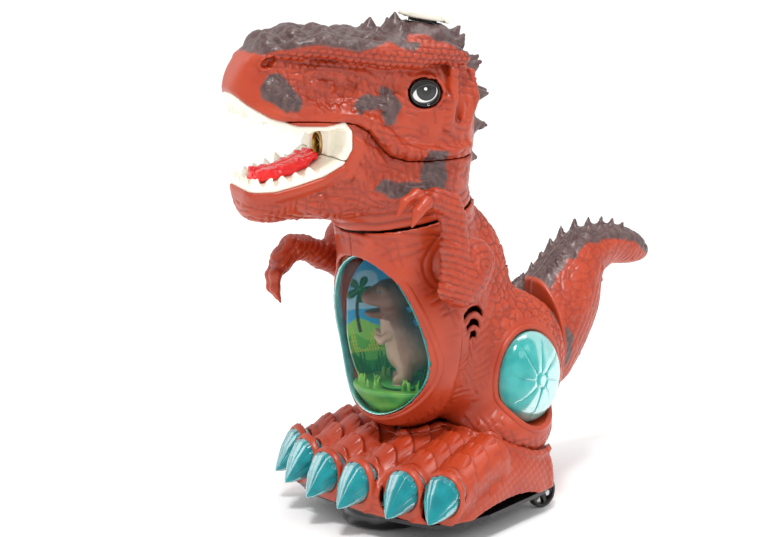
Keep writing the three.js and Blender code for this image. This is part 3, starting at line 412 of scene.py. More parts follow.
def attribute_out(tree, name, output="Fac"):
    return node(tree, "ShaderNodeAttribute", attribute_name=name).outputs[output]


def add_bump(tree, shader, height, strength=0.25, distance=0.0004):
    bump = node(tree, "ShaderNodeBump", Strength=strength, Distance=distance)
    tree.links.new(height, bump.inputs["Height"])
    tree.links.new(bump.outputs["Normal"], shader.inputs["Normal"])


def skin_material():
    """Brick-orange vinyl with sprayed grey-brown patches, and painted shade darkening the creases."""
    mat, tree, shader = new_material("skin", Roughness=0.34, Specular_IOR_Level=0.5)
    base = mixed(tree, noise_out(tree, 60), srgb(168, 54, 24), srgb(181, 64, 31))
    # painted shade: the crease mask darkens the skin and the dark patches where creases, grooves and holes
    # fall into shadow
    crease_shaded = mixed(tree, attribute_out(tree, "CreaseShade"), base, srgb(120, 32, 14))
    patches = mixed(tree, noise_out(tree, 240), srgb(82, 60, 58), srgb(104, 80, 77))
    dark = mixed(tree, attribute_out(tree, "CreaseShade"), patches, srgb(52, 36, 36))
    tree.links.new(mixed(tree, attribute_out(tree, "Paint"), crease_shaded, dark), shader.inputs["Base Color"])
    add_bump(tree, shader, noise_out(tree, 900, 3), 0.12, 0.0002)
    return mat


def plain(name, low, high, roughness, scale=300, bump=0.05, **sockets):
    """A moulded material with a faint mottle between two near colours."""
    mat, tree, shader = new_material(name, Roughness=roughness, **sockets)
    tree.links.new(mixed(tree, noise_out(tree, scale), srgb(*low), srgb(*high)), shader.inputs["Base Color"])
    if bump:
        add_bump(tree, shader, noise_out(tree, scale * 3, 2), bump, 0.0001)
    return mat


def painted(name, roughness, **sockets):
    """A material whose colour is the piece's own painted colour, a little uneven."""
    mat, tree, shader = new_material(name, Roughness=roughness, **sockets)
    paint = attribute_out(tree, "Colour", "Color")
    darker = mixed(tree, 1.0, paint, (0.9, 0.9, 0.9, 1), "MULTIPLY")
    tree.links.new(mixed(tree, noise_out(tree, 400), darker, paint), shader.inputs["Base Color"])
    return mat


def clear_material(name, low, high, transmission, roughness, scale=120, **sockets):
    mat, tree, shader = new_material(
        name, Roughness=roughness, Transmission_Weight=transmission, IOR=1.46, **sockets)
    tree.links.new(mixed(tree, noise_out(tree, scale), srgb(*low), srgb(*high)), shader.inputs["Base Color"])
    return mat


SKIN = skin_material()
CREAM = plain("cream", (240, 236, 218), (246, 243, 228), 0.33)
TONGUE = plain("tongue", (236, 4, 16), (246, 12, 24), 0.14, Coat_Weight=0.3, Coat_Roughness=0.06)
BLACK = plain("black_plastic", (18, 18, 20), (26, 26, 29), 0.3)
GLOSS = plain("gloss_black", (12, 12, 13), (18, 18, 20), 0.14, Coat_Weight=0.5)
RUBBER = plain("rubber", (22, 22, 23), (32, 32, 33), 0.7)
STEEL = plain("steel", (176, 178, 182), (198, 200, 204), 0.32, Metallic=1.0)
BRASS = plain("brass", (178, 148, 84), (202, 172, 104), 0.3, Metallic=1.0)
WHITE = plain("white_plastic", (232, 232, 228), (242, 242, 238), 0.4)
BOARD = plain("circuit_board", (22, 92, 48), (32, 112, 60), 0.4)
CELL = plain("battery_wrap", (34, 52, 140), (44, 66, 160), 0.3)
CLEAR = plain("frosted_tank", (222, 230, 232), (236, 242, 243), 0.25, Transmission_Weight=0.35)
TEAL = clear_material("teal_clear", (60, 188, 184), (90, 208, 204), 0.45, 0.14, Specular_IOR_Level=0.35)
TALON = clear_material("teal_talon", (10, 138, 146), (24, 160, 166), 0.3, 0.16, Specular_IOR_Level=0.35)
WINDOW = clear_material("chest_clear", (6, 104, 110), (14, 124, 128), 0.0, 0.02, Alpha=0.07, Coat_Weight=1.0)
PRINT = painted("printed_card", 0.35)
EYES = painted("eye_paint", 0.1, Coat_Weight=0.3)
FIGURE_PAINT = painted("figure_paint", 0.4)

# ---------------------------------------------------------------- head

NECK = np.array((0.0, -47.0, 168.0))
TILT = math.radians(12)
HEAD_TURN = math.radians(-16)
NECK_AXIS = np.array((0.0, -math.sin(TILT), math.cos(TILT)))
HEAD_ROTATION = np.array(Matrix.Rotation(HEAD_TURN, 3, Vector(NECK_AXIS)))
NECK_GAP = 0.45
HEAD_STATIONS = [
    (-100, 11, 23, 79), (-97, 15, 8, 84), (-90, 20, 1, 89), (-80, 23, -2, 93), (-65, 26, -1, 95.5),
    (-45, 30.5, -2, 96), (-20, 34.5, -8, 96), (0, 35.5, -8, 96), (15, 33, -2, 92.5), (26, 26, 6, 85),
    (34, 14, 24, 70),
]
MOUTH = [
    (-115, 74), (-102, 68), (-95, 61), (-84, 54.5), (-70, 50.5), (-56, 50.5), (-47, 52.5), (-43.5, 48),
    (-43, 39), (-47, 31), (-56, 25), (-68, 20.5), (-80, 17), (-92, 16.5), (-98, 19), (-115, 26),
]
LIP_PATH = MOUTH[1:-1]
MOUTH_SPLIT = 33.0
SEAM = [
    (-60, 53), (-46.5, 52.5), (-41, 51.5), (-34.5, 47.8), (-28.7, 40.5), (-23, 35), (-14.4, 32.5), (-4, 32),
    (60, 33),
]
SPIKES = [  # y, z, height, radius, and how far each leans back in degrees
    (-22, 94, 9, 6, 0), (-8, 95, 11, 6.5, 0), (24, 89, 11, 6, 35), (32, 76, 12, 6, 60), (36, 62, 12, 6, 85),
    (36, 46, 12, 6, 95), (34, 29, 9, 5.5, 100), (31, 12, 8, 5, 105),
]
SNOUT = [  # z, and how far forward the snout reaches there
    (8, -93.5), (30, -94.5), (56, -98), (66, -100.5), (73, -99.8), (80, -96.6), (88, -91), (97, -84),
]
NOSTRIL_AT = (21, -84.6, 82)
BROW = [
    (11, -90, 82), (15.5, -80, 86.5), (20.4, -70, 89), (25, -58, 91), (28.4, -44, 88.4), (31, -28, 86),
    (32.4, -10, 85.6), (31, 6, 87), (27, 18, 84),
]
BELOW_SEAM = [
    (31, -46, 49.4), (32.6, -40, 48.2), (34.6, -33, 44), (35.4, -27.5, 37.6), (36.5, -22, 32.6),
    (38.6, -14, 29.4), (39.4, -3, 28.8), (37, 12, 29.4), (31, 24, 30),
]
ABOVE_SEAM = [
    (29, -48, 56), (31, -41, 55.6), (32.6, -33, 52), (33.4, -26, 45), (34.2, -20, 39.8), (35.8, -12, 37.2),
    (36, 0, 36.6), (34, 12, 37), (29, 23, 39),
]
EYE_AT = np.array((27.0, -3.0, 67.0))
EYE_WIDE, EYE_TALL = 8.6, 7.7
EYE_TOE = math.radians(20)
OUTLET_Z = 38
OUTLET_HOLE = 6.85
LID_AT = (0, 8, 101.5)
LID_HOLE, LID_SEAT = 8.9, 12.4
LID_TILT = math.radians(-8)


def from_head(v):
    return v @ HEAD_ROTATION.T + NECK


def head_side_x(y, z):
    """How far the head's flank stands from its middle plane at (y, z)."""
    ys, half, low, high = zip(*HEAD_STATIONS)
    w, lo, hi = (float(smooth_curve(ys, s, np.array(y, float))) for s in (half, low, high))
    return w * max(1 - abs((z - (lo + hi) / 2) / ((hi - lo) / 2)) ** 2.5, 0.02) ** 0.4


def cone(p, foot, tip, radius, tip_radius):
    return limb(p, [foot, tip], [radius, tip_radius])


def cover(field, base):
    """A shell under the outer form `field`, hollow inside and thick enough below every dent."""
    return np.maximum(field, -(np.maximum(base, field) + WALL))


def head_base(p):
    """The head's plain outer form, without crest and mouth."""
    x, y, z = p
    levels, snout = zip(*SNOUT)
    front = smooth_curve(levels, snout, z)
    main = meet(loft(p, HEAD_STATIONS, 2.5), front - y, 5)
    main = meet(main, y - 35.5, 5)
    along = NECK_AXIS[1] * y + NECK_AXIS[2] * z
    out = np.hypot(x, NECK_AXIS[2] * y - NECK_AXIS[1] * z)
    neck = meet(out - 36.6, along - 22, 4)
    return join(main, neck, 7)


def nostril(side, centre, radii):
    """An oval on the snout's flank that leans up towards the back."""
    y, z = side[1] - centre[1], side[2] - centre[2]
    c, s = math.cos(0.42), math.sin(0.42)
    return ellipsoid((side[0], y * c + z * s, z * c - y * s), (centre[0], 0, 0), radii)


def head_form(p):
    """The head with brow, hollows, folds and crest."""
    x, y, z = p
    side = (np.abs(x), y, z)
    d = head_base(p)
    d = cut(d, ellipsoid(side, (36, -57, 70.5), (15.8, 18.5, 12.5)), 2.5)
    d = join(d, ellipsoid(side, (18.4, -56.5, 69), (5.6, 12.5, 7.8)), 2)
    d = cut(d, ellipsoid(side, (39.5, -28, 71.5), (11.4, 17, 8.6)), 3)
    d = join(d, limb(side, BROW, [2.4, 3.6, 5.3, 6.2, 6.7, 6.8, 6.6, 5.6, 4.4], 2), 2)
    d = join(d, nostril(side, (17.6, -84.4, 81.6), (2.2, 5.8, 3.6)), 1.6)
    d = cut(d, nostril(side, NOSTRIL_AT, (6.6, 5.2, 2.6)), 0.8)
    d = join(d, limb(side, [(33, 10.5, 79), (35, 9.5, 64), (34.2, 8, 50)], [2.6, 3, 2.6], 1), 3)
    d = cut(d, limb(side, [(27.5, 18, 75), (31, 18.5, 64), (31, 15, 54)], [3, 4, 2.8]), 2.5)
    d = join(d, limb(side, [(24, 25, 76), (26, 26.5, 63), (27, 22, 49)], [2.4, 3, 2.4], 1), 3)
    d = cut(d, limb(side, BELOW_SEAM, [2, 3, 3.6, 3.6, 3.4, 3.2, 3, 2.4, 1.6], 1), 2.4)
    d = join(d, limb(side, ABOVE_SEAM, [2, 3.2, 4, 4.6, 4.4, 3.8, 3.2, 2.8, 2], 2), 1.6)
    d = join(d, ellipsoid(side, (23, -14, 17), (11.5, 24, 13)), 5)
    d = join(d, ellipsoid(side, (18, -40, 10), (8.5, 24, 9)), 4)
    upper = [(-97, 64.4), (-90, 60.2), (-80, 55.6), (-70, 53), (-58, 53), (-49, 54.6)]
    lower = [(-47, 28.5), (-56, 22), (-68, 17.4), (-80, 14), (-91, 13.6)]
    for path, radii in ((upper, [0.9, 1.9, 2.5, 2.5, 2.5, 2.2]), (lower, [2.2, 2.5, 2.5, 2.2, 1])):
        points = [(head_side_x(y0, z0) - 1.3, y0, z0) for y0, z0 in path]
        d = join(d, limb(side, points, radii), 1.6)
    for y0, z0, r in ((-81, 91.5, 5.5), (-67, 94.5, 6), (-51, 95, 6.2), (-37, 94, 5.5)):
        d = join(d, ellipsoid(side, (6.5, y0, z0 - 2), (7, r, 6)), 3)
    d = join(d, ellipsoid(side, (15, -30, 92), (6, 8, 5)), 3)
    d = join(d, ellipsoid(p, (0, LID_AT[1] - 1, 90), (17.5, 18, 11.4)), 4)
    for y0, z0, height, radius, lean in SPIKES:
        sin, cos = math.sin(math.radians(lean)), math.cos(math.radians(lean))
        foot = (y0 - 2 * sin, z0 - 2 * cos)
        tip = (y0 + (height - 1.6) * sin, z0 + (height - 1.6) * cos)
        low_tip = (y0 + (height - 5.5) * sin, z0 + (height - 5.5) * cos)
        d = join(d, cone(p, (0, *foot), (0, *tip), radius + 1, 1.3), 2.5)
        for off in (-9, 9):
            d = join(d, cone(p, (off, *foot), (off * 1.05, *low_tip), radius - 1, 1.4), 2)
    return d


def eye_axis():
    return np.array((math.cos(EYE_TOE), -math.sin(EYE_TOE), 0.0))


HEAD_PATCHES = [
    [(-89, 70), (-84, 76), (-79, 76.5), (-74, 70), (-69, 63), (-71, 58), (-77, 57.5), (-82, 62), (-88, 65)],
    [(-43, 62), (-39, 67), (-30, 66.5), (-27, 70), (-22, 68), (-18, 61), (-21, 52), (-27, 52), (-30, 59),
     (-36, 59), (-42, 58)],
    [(-5, 39), (7, 38), (8.5, 30), (7, 14), (0, 11.5), (-8, 12), (-16, 14), (-24, 13.5), (-31, 18), (-27, 24),
     (-18, 22), (-8, 22.5), (-6, 30)],
]
ROSETTES = ((-82.3, 69.8, 4.6), (-75, 62.4, 4.3), (-44, 24.1, 2.6), (-57, 14, 2.4), (-28, 60, 2.6))


def head_paint(v):
    """The sprayed dark crest and the three patches on each flank."""
    x, y, z = v.T
    wobble = 1.3 * noise(v, 5, 5) + 0.5 * noise(v, 2, 6)
    edge_y = [-104, -97.5, -90, -81, -72, -63, -51, -41, -32, -26.5, -18, -14, -9.5, -6.5, 2.5, 8, 15, 24, 40]
    edge_z = [88, 87, 86, 87.5, 90, 91.5, 90, 88.5, 91.5, 93, 89.5, 88.5, 92, 94.5, 94.5, 91, 88.3, 84, 60]
    crest = z - np.interp(y, edge_y, edge_z) + wobble * 0.6
    nape = np.where(y > 16, 14.5 - np.abs(x) + wobble - smoothstep(60 - z, 0, 40) * 2, -9)
    mask = smoothstep(np.maximum(crest, nape), -0.5, 0.7)
    for corners in HEAD_PATCHES:
        d = polygon(y, z, corners) + wobble * 0.8
        mask = np.maximum(mask, smoothstep(-d, -0.6, 0.6) * (np.abs(x) > 12))
    return mask


def head_detail(v, outer):
    """Height to add along the normal, and the mask of painted shade in the creases."""
    x, y, z = v.T
    side = np.abs(x) > 12
    bent = warped(v, 0.8, 6, 11)
    small = scales(bent, (3.1, 2.9, 2.9), 22, 0.2)[0]
    lip = smoothstep(along_path(y, z, LIP_PATH)[0], 5.5, 7.5)
    top = smoothstep(z, 85, 88)
    crest_line = np.interp(y, [-95, -80, -60, -40, -20, 0, 15], [84, 87, 91, 89, 90, 94, 90])
    brow = smoothstep(z, 78.5, 80.5) * smoothstep(crest_line + 1.5 - z, 0, 3) * smoothstep(y, -88, -84) * side
    row, along_row = z + 0.10 * y, y + 0.6 * noise(v, 5, 15)
    half_step = np.floor(row / 3.0) % 2 * 1.9
    tiles = np.maximum(wrinkles(row, 3.0, 5), wrinkles(along_row + half_step, 3.8, 6)) * brow
    window_y, window_z = (y + 56) / 19, (z - 71) / 11
    fenestra = smoothstep(1.05 - window_y**2 - window_z**2, 0, 0.3) * side
    cracked = 1 - scales(bent, (6, 4.6, 4.6), 21, 0.15)[0]
    flank = lip * (1 - top) * (1 - brow) * smoothstep(y, -92, -78)
    woven = hatch(v, (0, 1, 0.25), (0, 0.3, 1), 4.2, 120) * flank
    jaw_lines = hatch(v, (0.5, 1, -0.2), (0.2, 0.15, 1), 3.4, 140) * smoothstep(31 - z, 0, 4) * lip
    along = NECK_AXIS[1] * y + NECK_AXIS[2] * z
    collar = smoothstep(14 - along, 0, 6) * (y > -82)
    ring = wrinkles(along + 1.1 * noise(v, 11, 8), 4.6, 4) * collar
    hatched = np.maximum(woven, jaw_lines) * (1 - collar)
    shaded_creases = np.maximum(hatched, np.maximum(tiles, cracked * fenestra * 0.8))
    depth = -0.75 * hatched - 0.9 * tiles - 0.55 * cracked * fenestra
    rough = top * (1 - brow)
    lumps = cells(bent, (9, 9, 9), 32)[0]
    depth += rough * (1.5 * (0.55 - lumps) + 0.2 * (small - 1))
    bumps, _, pick = cells(v, (8.5, 8.5, 8.5), 31)
    depth += 0.9 * smoothstep(0.24 - bumps, 0, 0.2) * (pick > 0.35) * (1 - top) * lip
    bulge = cells(v, (5, 5, 5), 33)[0]
    depth += 0.9 * np.maximum(0.5 - bulge, 0) * 2 * fenestra
    stri = np.exp(-((y + 36) / 6.0) ** 2) * smoothstep(z, 24, 31) * smoothstep(52 - z, 0, 4)
    lines = wrinkles(z * 0.3 + y + noise(v, 6, 7), 2.9, 4) * stri
    eye_lines = np.exp(-((y + 26) / 6) ** 2) * smoothstep(z, 62, 68) * smoothstep(82 - z, 0, 5) * side
    around_eye = wrinkles(y - 0.35 * z + noise(v, 5, 9), 2.7, 4) * eye_lines
    depth -= 0.65 * lines + 0.6 * around_eye + 0.7 * ring
    for y0, z0, r in ROSETTES:
        d = np.hypot(y - y0, z - z0)
        rosette = np.maximum(1 - (d / r) ** 2, 0) ** 0.6
        petals = 0.78 + 0.22 * np.cos(7 * np.arctan2(z - z0, y - y0))
        depth += 1.9 * rosette * petals * side
        shaded_creases = np.maximum(shaded_creases, np.exp(-((d - r) / 0.55) ** 2) * side)
    depth *= np.clip(lip + top, 0, 1)
    # painted shade: groove darkens the creases, brow tiles, wrinkles, neck rings, rosette rims and cracks
    groove = np.maximum(shaded_creases * 0.5 + tiles * 0.3, np.maximum(lines, around_eye) * 0.4)
    groove = np.maximum(groove, np.maximum(ring * 0.7, (1 - small) * rough * 0.5)) * np.clip(lip + top, 0, 1)
    # painted shade inside the nostril hole
    hole = nostril((np.abs(x), y, z), NOSTRIL_AT, (5, 5, 2.4))
    groove = np.maximum(groove, smoothstep(-hole, -0.6, 0.8))
    return depth * outer, groove * outer


def build_head():
    grid = Grid((-42, -106, -14), (42, 54, 114), 0.85)
    p = grid.p
    x, y, z = p
    side = (np.abs(x), y, z)
    base = grid.even(head_base(p))
    form = grid.even(head_form(p))
    shell = cover(form, base)
    mouth = polygon(y, z, MOUTH)
    shell = meet(shell, -mouth, 1.4)
    axis = eye_axis()
    off = [side[i] - EYE_AT[i] for i in range(3)]
    along_eye = sum(off[i] * axis[i] for i in range(3))
    across_eye = np.maximum(sum(o * o for o in off) - along_eye**2 - off[2] ** 2, 0)
    out_eye = np.sqrt(across_eye + (off[2] * EYE_WIDE / EYE_TALL) ** 2)
    lid_edge = np.hypot(out_eye - EYE_WIDE - 0.9, along_eye - 5.2) - 1.7
    shell = join(shell, np.maximum(lid_edge, -(base + WALL)), 1.6)
    shell = cut(shell, np.maximum(out_eye - EYE_WIDE - 0.2, -along_eye - 8), 0.8)
    off_lid = np.hypot(x, y - LID_AT[1])
    seat_level = 100.9 + (LID_AT[1] - y) * math.tan(-LID_TILT)
    seat = np.maximum(off_lid - LID_SEAT, seat_level - z)
    shell = cut(cut(shell, np.maximum(off_lid - LID_HOLE, 84 - z)), seat, 0.8)
    shell = cut(shell, block(p, (-4.8, 17.5, 97.8), (4.8, 24, 108)), 0.5)
    along = NECK_AXIS[1] * y + NECK_AXIS[2] * z
    shell = np.maximum(shell, NECK_GAP - along)
    seam_z = np.interp(np.ravel(y), *zip(*SEAM)).astype(np.float32)[None, :, None]
    skull = meet(shell, seam_z + GAP / 2 - z, 0.5)
    jaw = meet(shell, z - seam_z + GAP / 2, 0.5)
    for word, field in (("skull", skull), ("jaw", jaw)):
        v, faces = grid.surface(field)
        v = smoothed(v, faces)
        outer = smoothstep(grid.sample(form, v), -1.3, -0.35)
        depth, crease_shade = head_detail(v, outer)
        raised = from_head(v + normals_of(v, faces) * depth[:, None])
        # the crease mask is painted shade in the head's creases and nostrils
        masks = {"Paint": head_paint(v) * outer, "CreaseShade": crease_shade}
        piece(f"{word}_skin", raised, faces, SKIN, "head", [f"{word}_shell"], "skin", masks=masks)


def build_mouth():
    """The cream lining: a lip with a scalloped row of teeth above and below, and the block at the throat."""
    grid = Grid((-36, -104, 10), (36, -36, 74), 0.55)
    p = grid.p
    x, y, z = p
    room = grid.even(head_base(p)) + WALL + GAP
    inside = polygon(y, z, MOUTH)
    distance, at = along_path(y, z, LIP_PATH)
    liner = meet(np.maximum(inside - 0.5, distance - 2.3), room - 1.6, 1.0)
    throat = block(p, (-15, -50, 24), (15, -41, 53), 1.2)
    liner = join(liner, np.maximum(throat, room), 1.5)
    front = smoothstep(-y, 88, 92)
    for first, last, pitch, height in ((2, 47, 6.2, 4.0), (93, 140, 7.2, 5.4)):
        phase = (1 - front) * at / pitch + front * (x / 6.4 + 0.5)
        scallop = (0.5 + 0.5 * np.cos(2 * np.pi * phase)) ** 0.75
        size = height * smoothstep(at, first, first + 3) * smoothstep(last - at, 0, 8)
        lean = 0.45 * (-room - 0.5)
        crown = np.maximum(inside - 0.5, (distance - 1.6 - size * scallop + lean) * 0.75)
        tooth = np.maximum(np.maximum(crown, (-room - 4.4) * 0.8), room - 0.9)
        tooth = np.where(size > 0.3, tooth, 9)
        liner = join(liner, tooth, 0.5)
    off_outlet = np.hypot(x, z - OUTLET_Z)
    liner = cut(liner, np.maximum(off_outlet - OUTLET_HOLE, -60 - y))
    rib = np.hypot(off_outlet - 9, y + 50) - 0.7
    liner = cut(join(liner, rib, 0.5), np.hypot(y + 50.3, z - 46) - 0.6)
    for word, below in (("upper", MOUTH_SPLIT - z), ("lower", z - MOUTH_SPLIT)):
        v, faces = grid.surface(meet(liner, below + GAP / 2, 0.3))
        v = from_head(smoothed(v, faces, 2))
        piece(f"{word}_mouth", v, faces, CREAM, "head", [f"{word}_mouth_liner"], "cream")


def build_tongue():
    grid = Grid((-14, -92, 16), (14, -48, 40), 0.5)
    x, y, z = grid.p
    squeezed = (x * 0.42, y, z)
    body = limb(squeezed, [(0, -85, 20.8), (0, -76, 23.4), (0, -67, 25.6), (0, -60, 28.6), (0, -54, 31.6)],
                [2.6, 3.4, 3.8, 3.6, 2.6], 2)
    rng = np.random.default_rng(4)
    for i in range(9):
        for j in (-1, 0, 1):
            yy = -84 + 3.7 * i + rng.uniform(-0.8, 0.8)
            zz = 24.2 + np.interp(yy, [-86, -67, -54], [0, 4, 10.5])
            r = rng.uniform(2.0, 2.9)
            top = zz + rng.uniform(-0.4, 1.6)
            lump = block(grid.p, (j * 5.6 - r, yy - 1.9, zz - 4), (j * 5.6 + r, yy + 1.9, top), 1.1)
            body = join(body, lump, 0.9)
    valley = np.interp(np.ravel(y), [-86, -67, -54], [26.5, 31.5, 38])[None, :, None]
    body = cut(body, np.sqrt(x * x * 1.5 + (z - valley) ** 2) - 2.2, 1.5)
    v, faces = grid.surface(grid.even(body))
    piece("tongue_lumps", from_head(smoothed(v, faces)), faces, TONGUE, "head", ["tongue"], "tongue")


OUTLET_OUTLINE = [
    (5.4, 0.3), (5.7, 0), (6.3, 0), (6.6, 0.3), (6.6, 1.5), (6.2, 1.7), (6.2, 2.2), (6.6, 2.4), (6.6, 4.8),
    (6.4, 5), (5.6, 5), (5.4, 4.8),
]


def build_outlet():
    v, faces = closed_lathe(OUTLET_OUTLINE, 48)
    v = np.stack([v[:, 0], -50.6 + v[:, 2], OUTLET_Z - v[:, 1]], 1)
    ring = (v, faces[:, ::-1])
    grid = Grid((-6, -49.5, OUTLET_Z - 6), (6, -46.5, OUTLET_Z + 6), 0.3)
    x, y, z = grid.p
    bars = []
    for a in np.arange(3) * math.pi / 3:
        across = np.abs(x * math.cos(a) + (z - OUTLET_Z) * math.sin(a)) - 0.4
        bar = np.maximum(np.maximum(across, np.abs(y + 48) - 0.5), np.hypot(x, z - OUTLET_Z) - 5.45)
        bars.append(grid.surface(bar))
    v, faces = merged(ring, *bars)
    piece("outlet_wand", from_head(v), faces, BRASS, "head", ["outlet_ring"], "brass")


def build_eyes():
    """A painted lens: glossy black surround, white almond, dark iris and a small highlight."""
    rings, sides = 90, 180
    rho = np.concatenate([np.linspace(0, 1, rings), [1.0, 0.96, 0.3, 0.0]])
    lens = rho[:rings]
    front = 3.2 * np.sqrt(np.maximum(1 - (lens * 0.93) ** 2, 0)) - 0.2
    front += 0.9 * np.exp(-(((lens - 0.87) / 0.07) ** 2)) - 0.5 * smoothstep(0.80 - lens, 0, 0.05)
    height = np.concatenate([front, [-1.6, -3, -3, -3]])
    t = np.arange(sides) * 2 * np.pi / sides
    u = EYE_WIDE * rho[:, None] * np.cos(t)
    w = EYE_TALL * rho[:, None] * np.sin(t)
    h = np.repeat(height[:, None], sides, 1)
    u, w, h = u.ravel(), w.ravel(), h.ravel()
    # forward is +u, up is w
    almond = np.abs(u) / 6.3
    lid_top = 4.5 * np.sqrt(np.maximum(1 - almond**2, 0)) - 0.2 - 0.24 * u
    lid_low = -5.0 * np.sqrt(np.maximum(1 - almond**2, 0)) + 0.1 - 0.1 * u
    white = smoothstep(lid_top - w, 0, 0.35) * smoothstep(w - lid_low, 0, 0.35) * (almond < 1)
    reach = np.hypot(u + 0.7, w - 1.3)
    iris, ring = smoothstep(5.3 - reach, 0, 0.3), smoothstep(4.5 - reach, 0, 0.4)
    pupil = smoothstep(2.7 - reach, 0, 0.3)
    spot = smoothstep(0.9 - np.hypot(u + 0.2, w - 2.2), 0, 0.25)
    colour = np.ones((len(u), 3)) * tone(12, 11, 11)
    layers = (
        (white, (240, 240, 236)), (iris * white, (16, 14, 14)), (ring * white, (34, 33, 33)),
        (pupil, (5, 5, 5)), (spot, (250, 250, 250)))
    for mask, shade in layers:
        colour = painted_over(colour, mask, shade)
    faces = sheet_faces(len(rho), sides, True)
    axis = eye_axis()
    forward = np.array((axis[1], -axis[0], 0.0))
    v = EYE_AT + axis * 5 + u[:, None] * forward + w[:, None] * np.array((0, 0, 1.0)) + h[:, None] * axis
    for s, word in SIDES:
        placed, sided = mirrored(v, faces, s)
        placed = from_head(placed)
        piece(f"eye_lens_{word}", placed, sided, EYES, "head", [f"eye_{word}"], "eye", colour=colour)


def build_lid():
    grid = Grid((-13, -16, -5), (13, 15, 5), 0.4)
    x, y, z = grid.p
    out = np.hypot(x, y)
    disc = meet(out - 11, np.abs(z - 1.4) - 1.7, 1.0)
    dish = np.maximum(out - 8, 2.4 - z)
    lid = cut(disc, dish, 0.5)
    lid = join(lid, np.maximum(np.abs(out - 5) - 0.5, np.abs(z - 2.5) - 0.5), 0.3)
    lid = join(lid, block(grid.p, (-3.2, -13.6, 0.3), (3.2, -9, 2.6), 0.7), 0.8)
    for i in range(3):
        lid = join(lid, np.hypot(y + 11.2 + i * 0.9, z - 2.5) + np.maximum(np.abs(x) - 2.6, 0) - 0.3)
    lid = join(lid, np.maximum(out - 4.5, np.abs(z + 1.8) - 2.2))
    lid = join(lid, block(grid.p, (-3.4, 9, 0), (3.4, 12.6, 1.8), 0.4), 0.5)
    lid = join(lid, np.maximum(np.hypot(y - 12.6, z - 0.6) - 1.6, np.abs(x) - 4), 0.4)
    v, faces = grid.surface(lid)
    v = from_head(turned(v, "X", LID_TILT) + LID_AT)
    piece("filler_cap", v, faces, CREAM, "filler_lid", ["filler_lid"], "cream")


# ---------------------------------------------------------------- torso

TAIL_PLANE_Y = 45.2
TORSO_SEAM, TAIL_SEAM = 0.9, 0.85
WINDOW_SHAPE = {"z": 98, "half": 37, "up": 49, "down": 38}
THIGH = {"y": 9, "z": 76, "ry": 22, "rz": 25.5, "x": 39.5, "depth": 11}
SHOULDER = (50.5, -44, 146)
CHEST_C, CHEST_R = (0, -44, 108), (40, 40, 58)
BEZEL = 1.4
SHOULDER_HOLE = 3.9
TAIL_HUB = (0, 52, 84)
TAIL_OPENING = 22
FIGURE_Y = -46
FIGURE_HEADING = math.radians(-40)
RIGHT_ARM_TURN = math.radians(62)


def window_distance(x, z):
    """Rough distance outside the chest window's edge."""
    up = np.where(z > WINDOW_SHAPE["z"], WINDOW_SHAPE["up"], WINDOW_SHAPE["down"])
    f = np.sqrt((x / WINDOW_SHAPE["half"]) ** 2 + ((z - WINDOW_SHAPE["z"]) / up) ** 2)
    return (f - 1) * 39


def torso_base(p, k=9):
    x, y, z = p
    side = (np.abs(x), y, z)
    d = ellipsoid(p, CHEST_C, CHEST_R)
    d = join(d, ellipsoid(p, (0, -14, 118), (33, 34, 54)), k)
    d = join(d, ellipsoid(p, (0, 20, 82), (36, 46, 36)), k)
    d = join(d, ellipsoid(side, (18, 7, 78), (25, 42, 44)), k)
    radius = 34 + 5 * np.clip((z - 140) / 38, 0, 1)
    collar = meet(np.hypot(x, y + 47) - radius, np.abs(z - 159) - 19, 2)
    return join(d, collar, k)


def torso_form(p):
    x, y, z = p
    side = (np.abs(x), y, z)
    d = torso_base(p)
    d = join(d, ellipsoid(side, (28, 2, 48), (23, 30, 22)), 6)
    bezel = np.maximum(ellipsoid(p, CHEST_C, [r + BEZEL for r in CHEST_R]), window_distance(x, z) - 6.5)
    d = join(d, np.maximum(bezel, y + 42), 4)
    boss = np.maximum(np.hypot(y - SHOULDER[1], z - SHOULDER[2]) - 10, side[0] - 38)
    d = join(d, boss, 3)
    d = join(d, ellipsoid(side, (30, -32, 132), (9, 13, 17)), 6)
    for y0, z0 in ((27, 124), (40, 118), (13, 143)):
        d = join(d, cone(p, (0, y0 - 3, z0 - 4), (0, y0 + 3.2, z0 + 5.5), 6, 1), 2.5)
    return d


def thigh_distance(y, z):
    return (np.sqrt(((y - THIGH["y"]) / THIGH["ry"]) ** 2 + ((z - THIGH["z"]) / THIGH["rz"]) ** 2) - 1) * 23.5


def torso_paint(v):
    x, y, z = v.T
    wobble = 1.6 * noise(v, 6, 41) + 0.6 * noise(v, 2.5, 42)
    back = np.interp(y, [-10, 5, 12, 30, 46], [3, 6, 12, 14, 17])
    nape = np.where((y > -4) & (z > 88), back - np.abs(x) + wobble - smoothstep(118 - z, 0, 16) * 4, -9)
    seam = np.where((y > 37) & (z > 92), (y - 41.5) * 1.3 + wobble - smoothstep(100 - z, 0, 10) * 6, -9)
    return smoothstep(np.maximum(nape, seam), -0.5, 0.7)


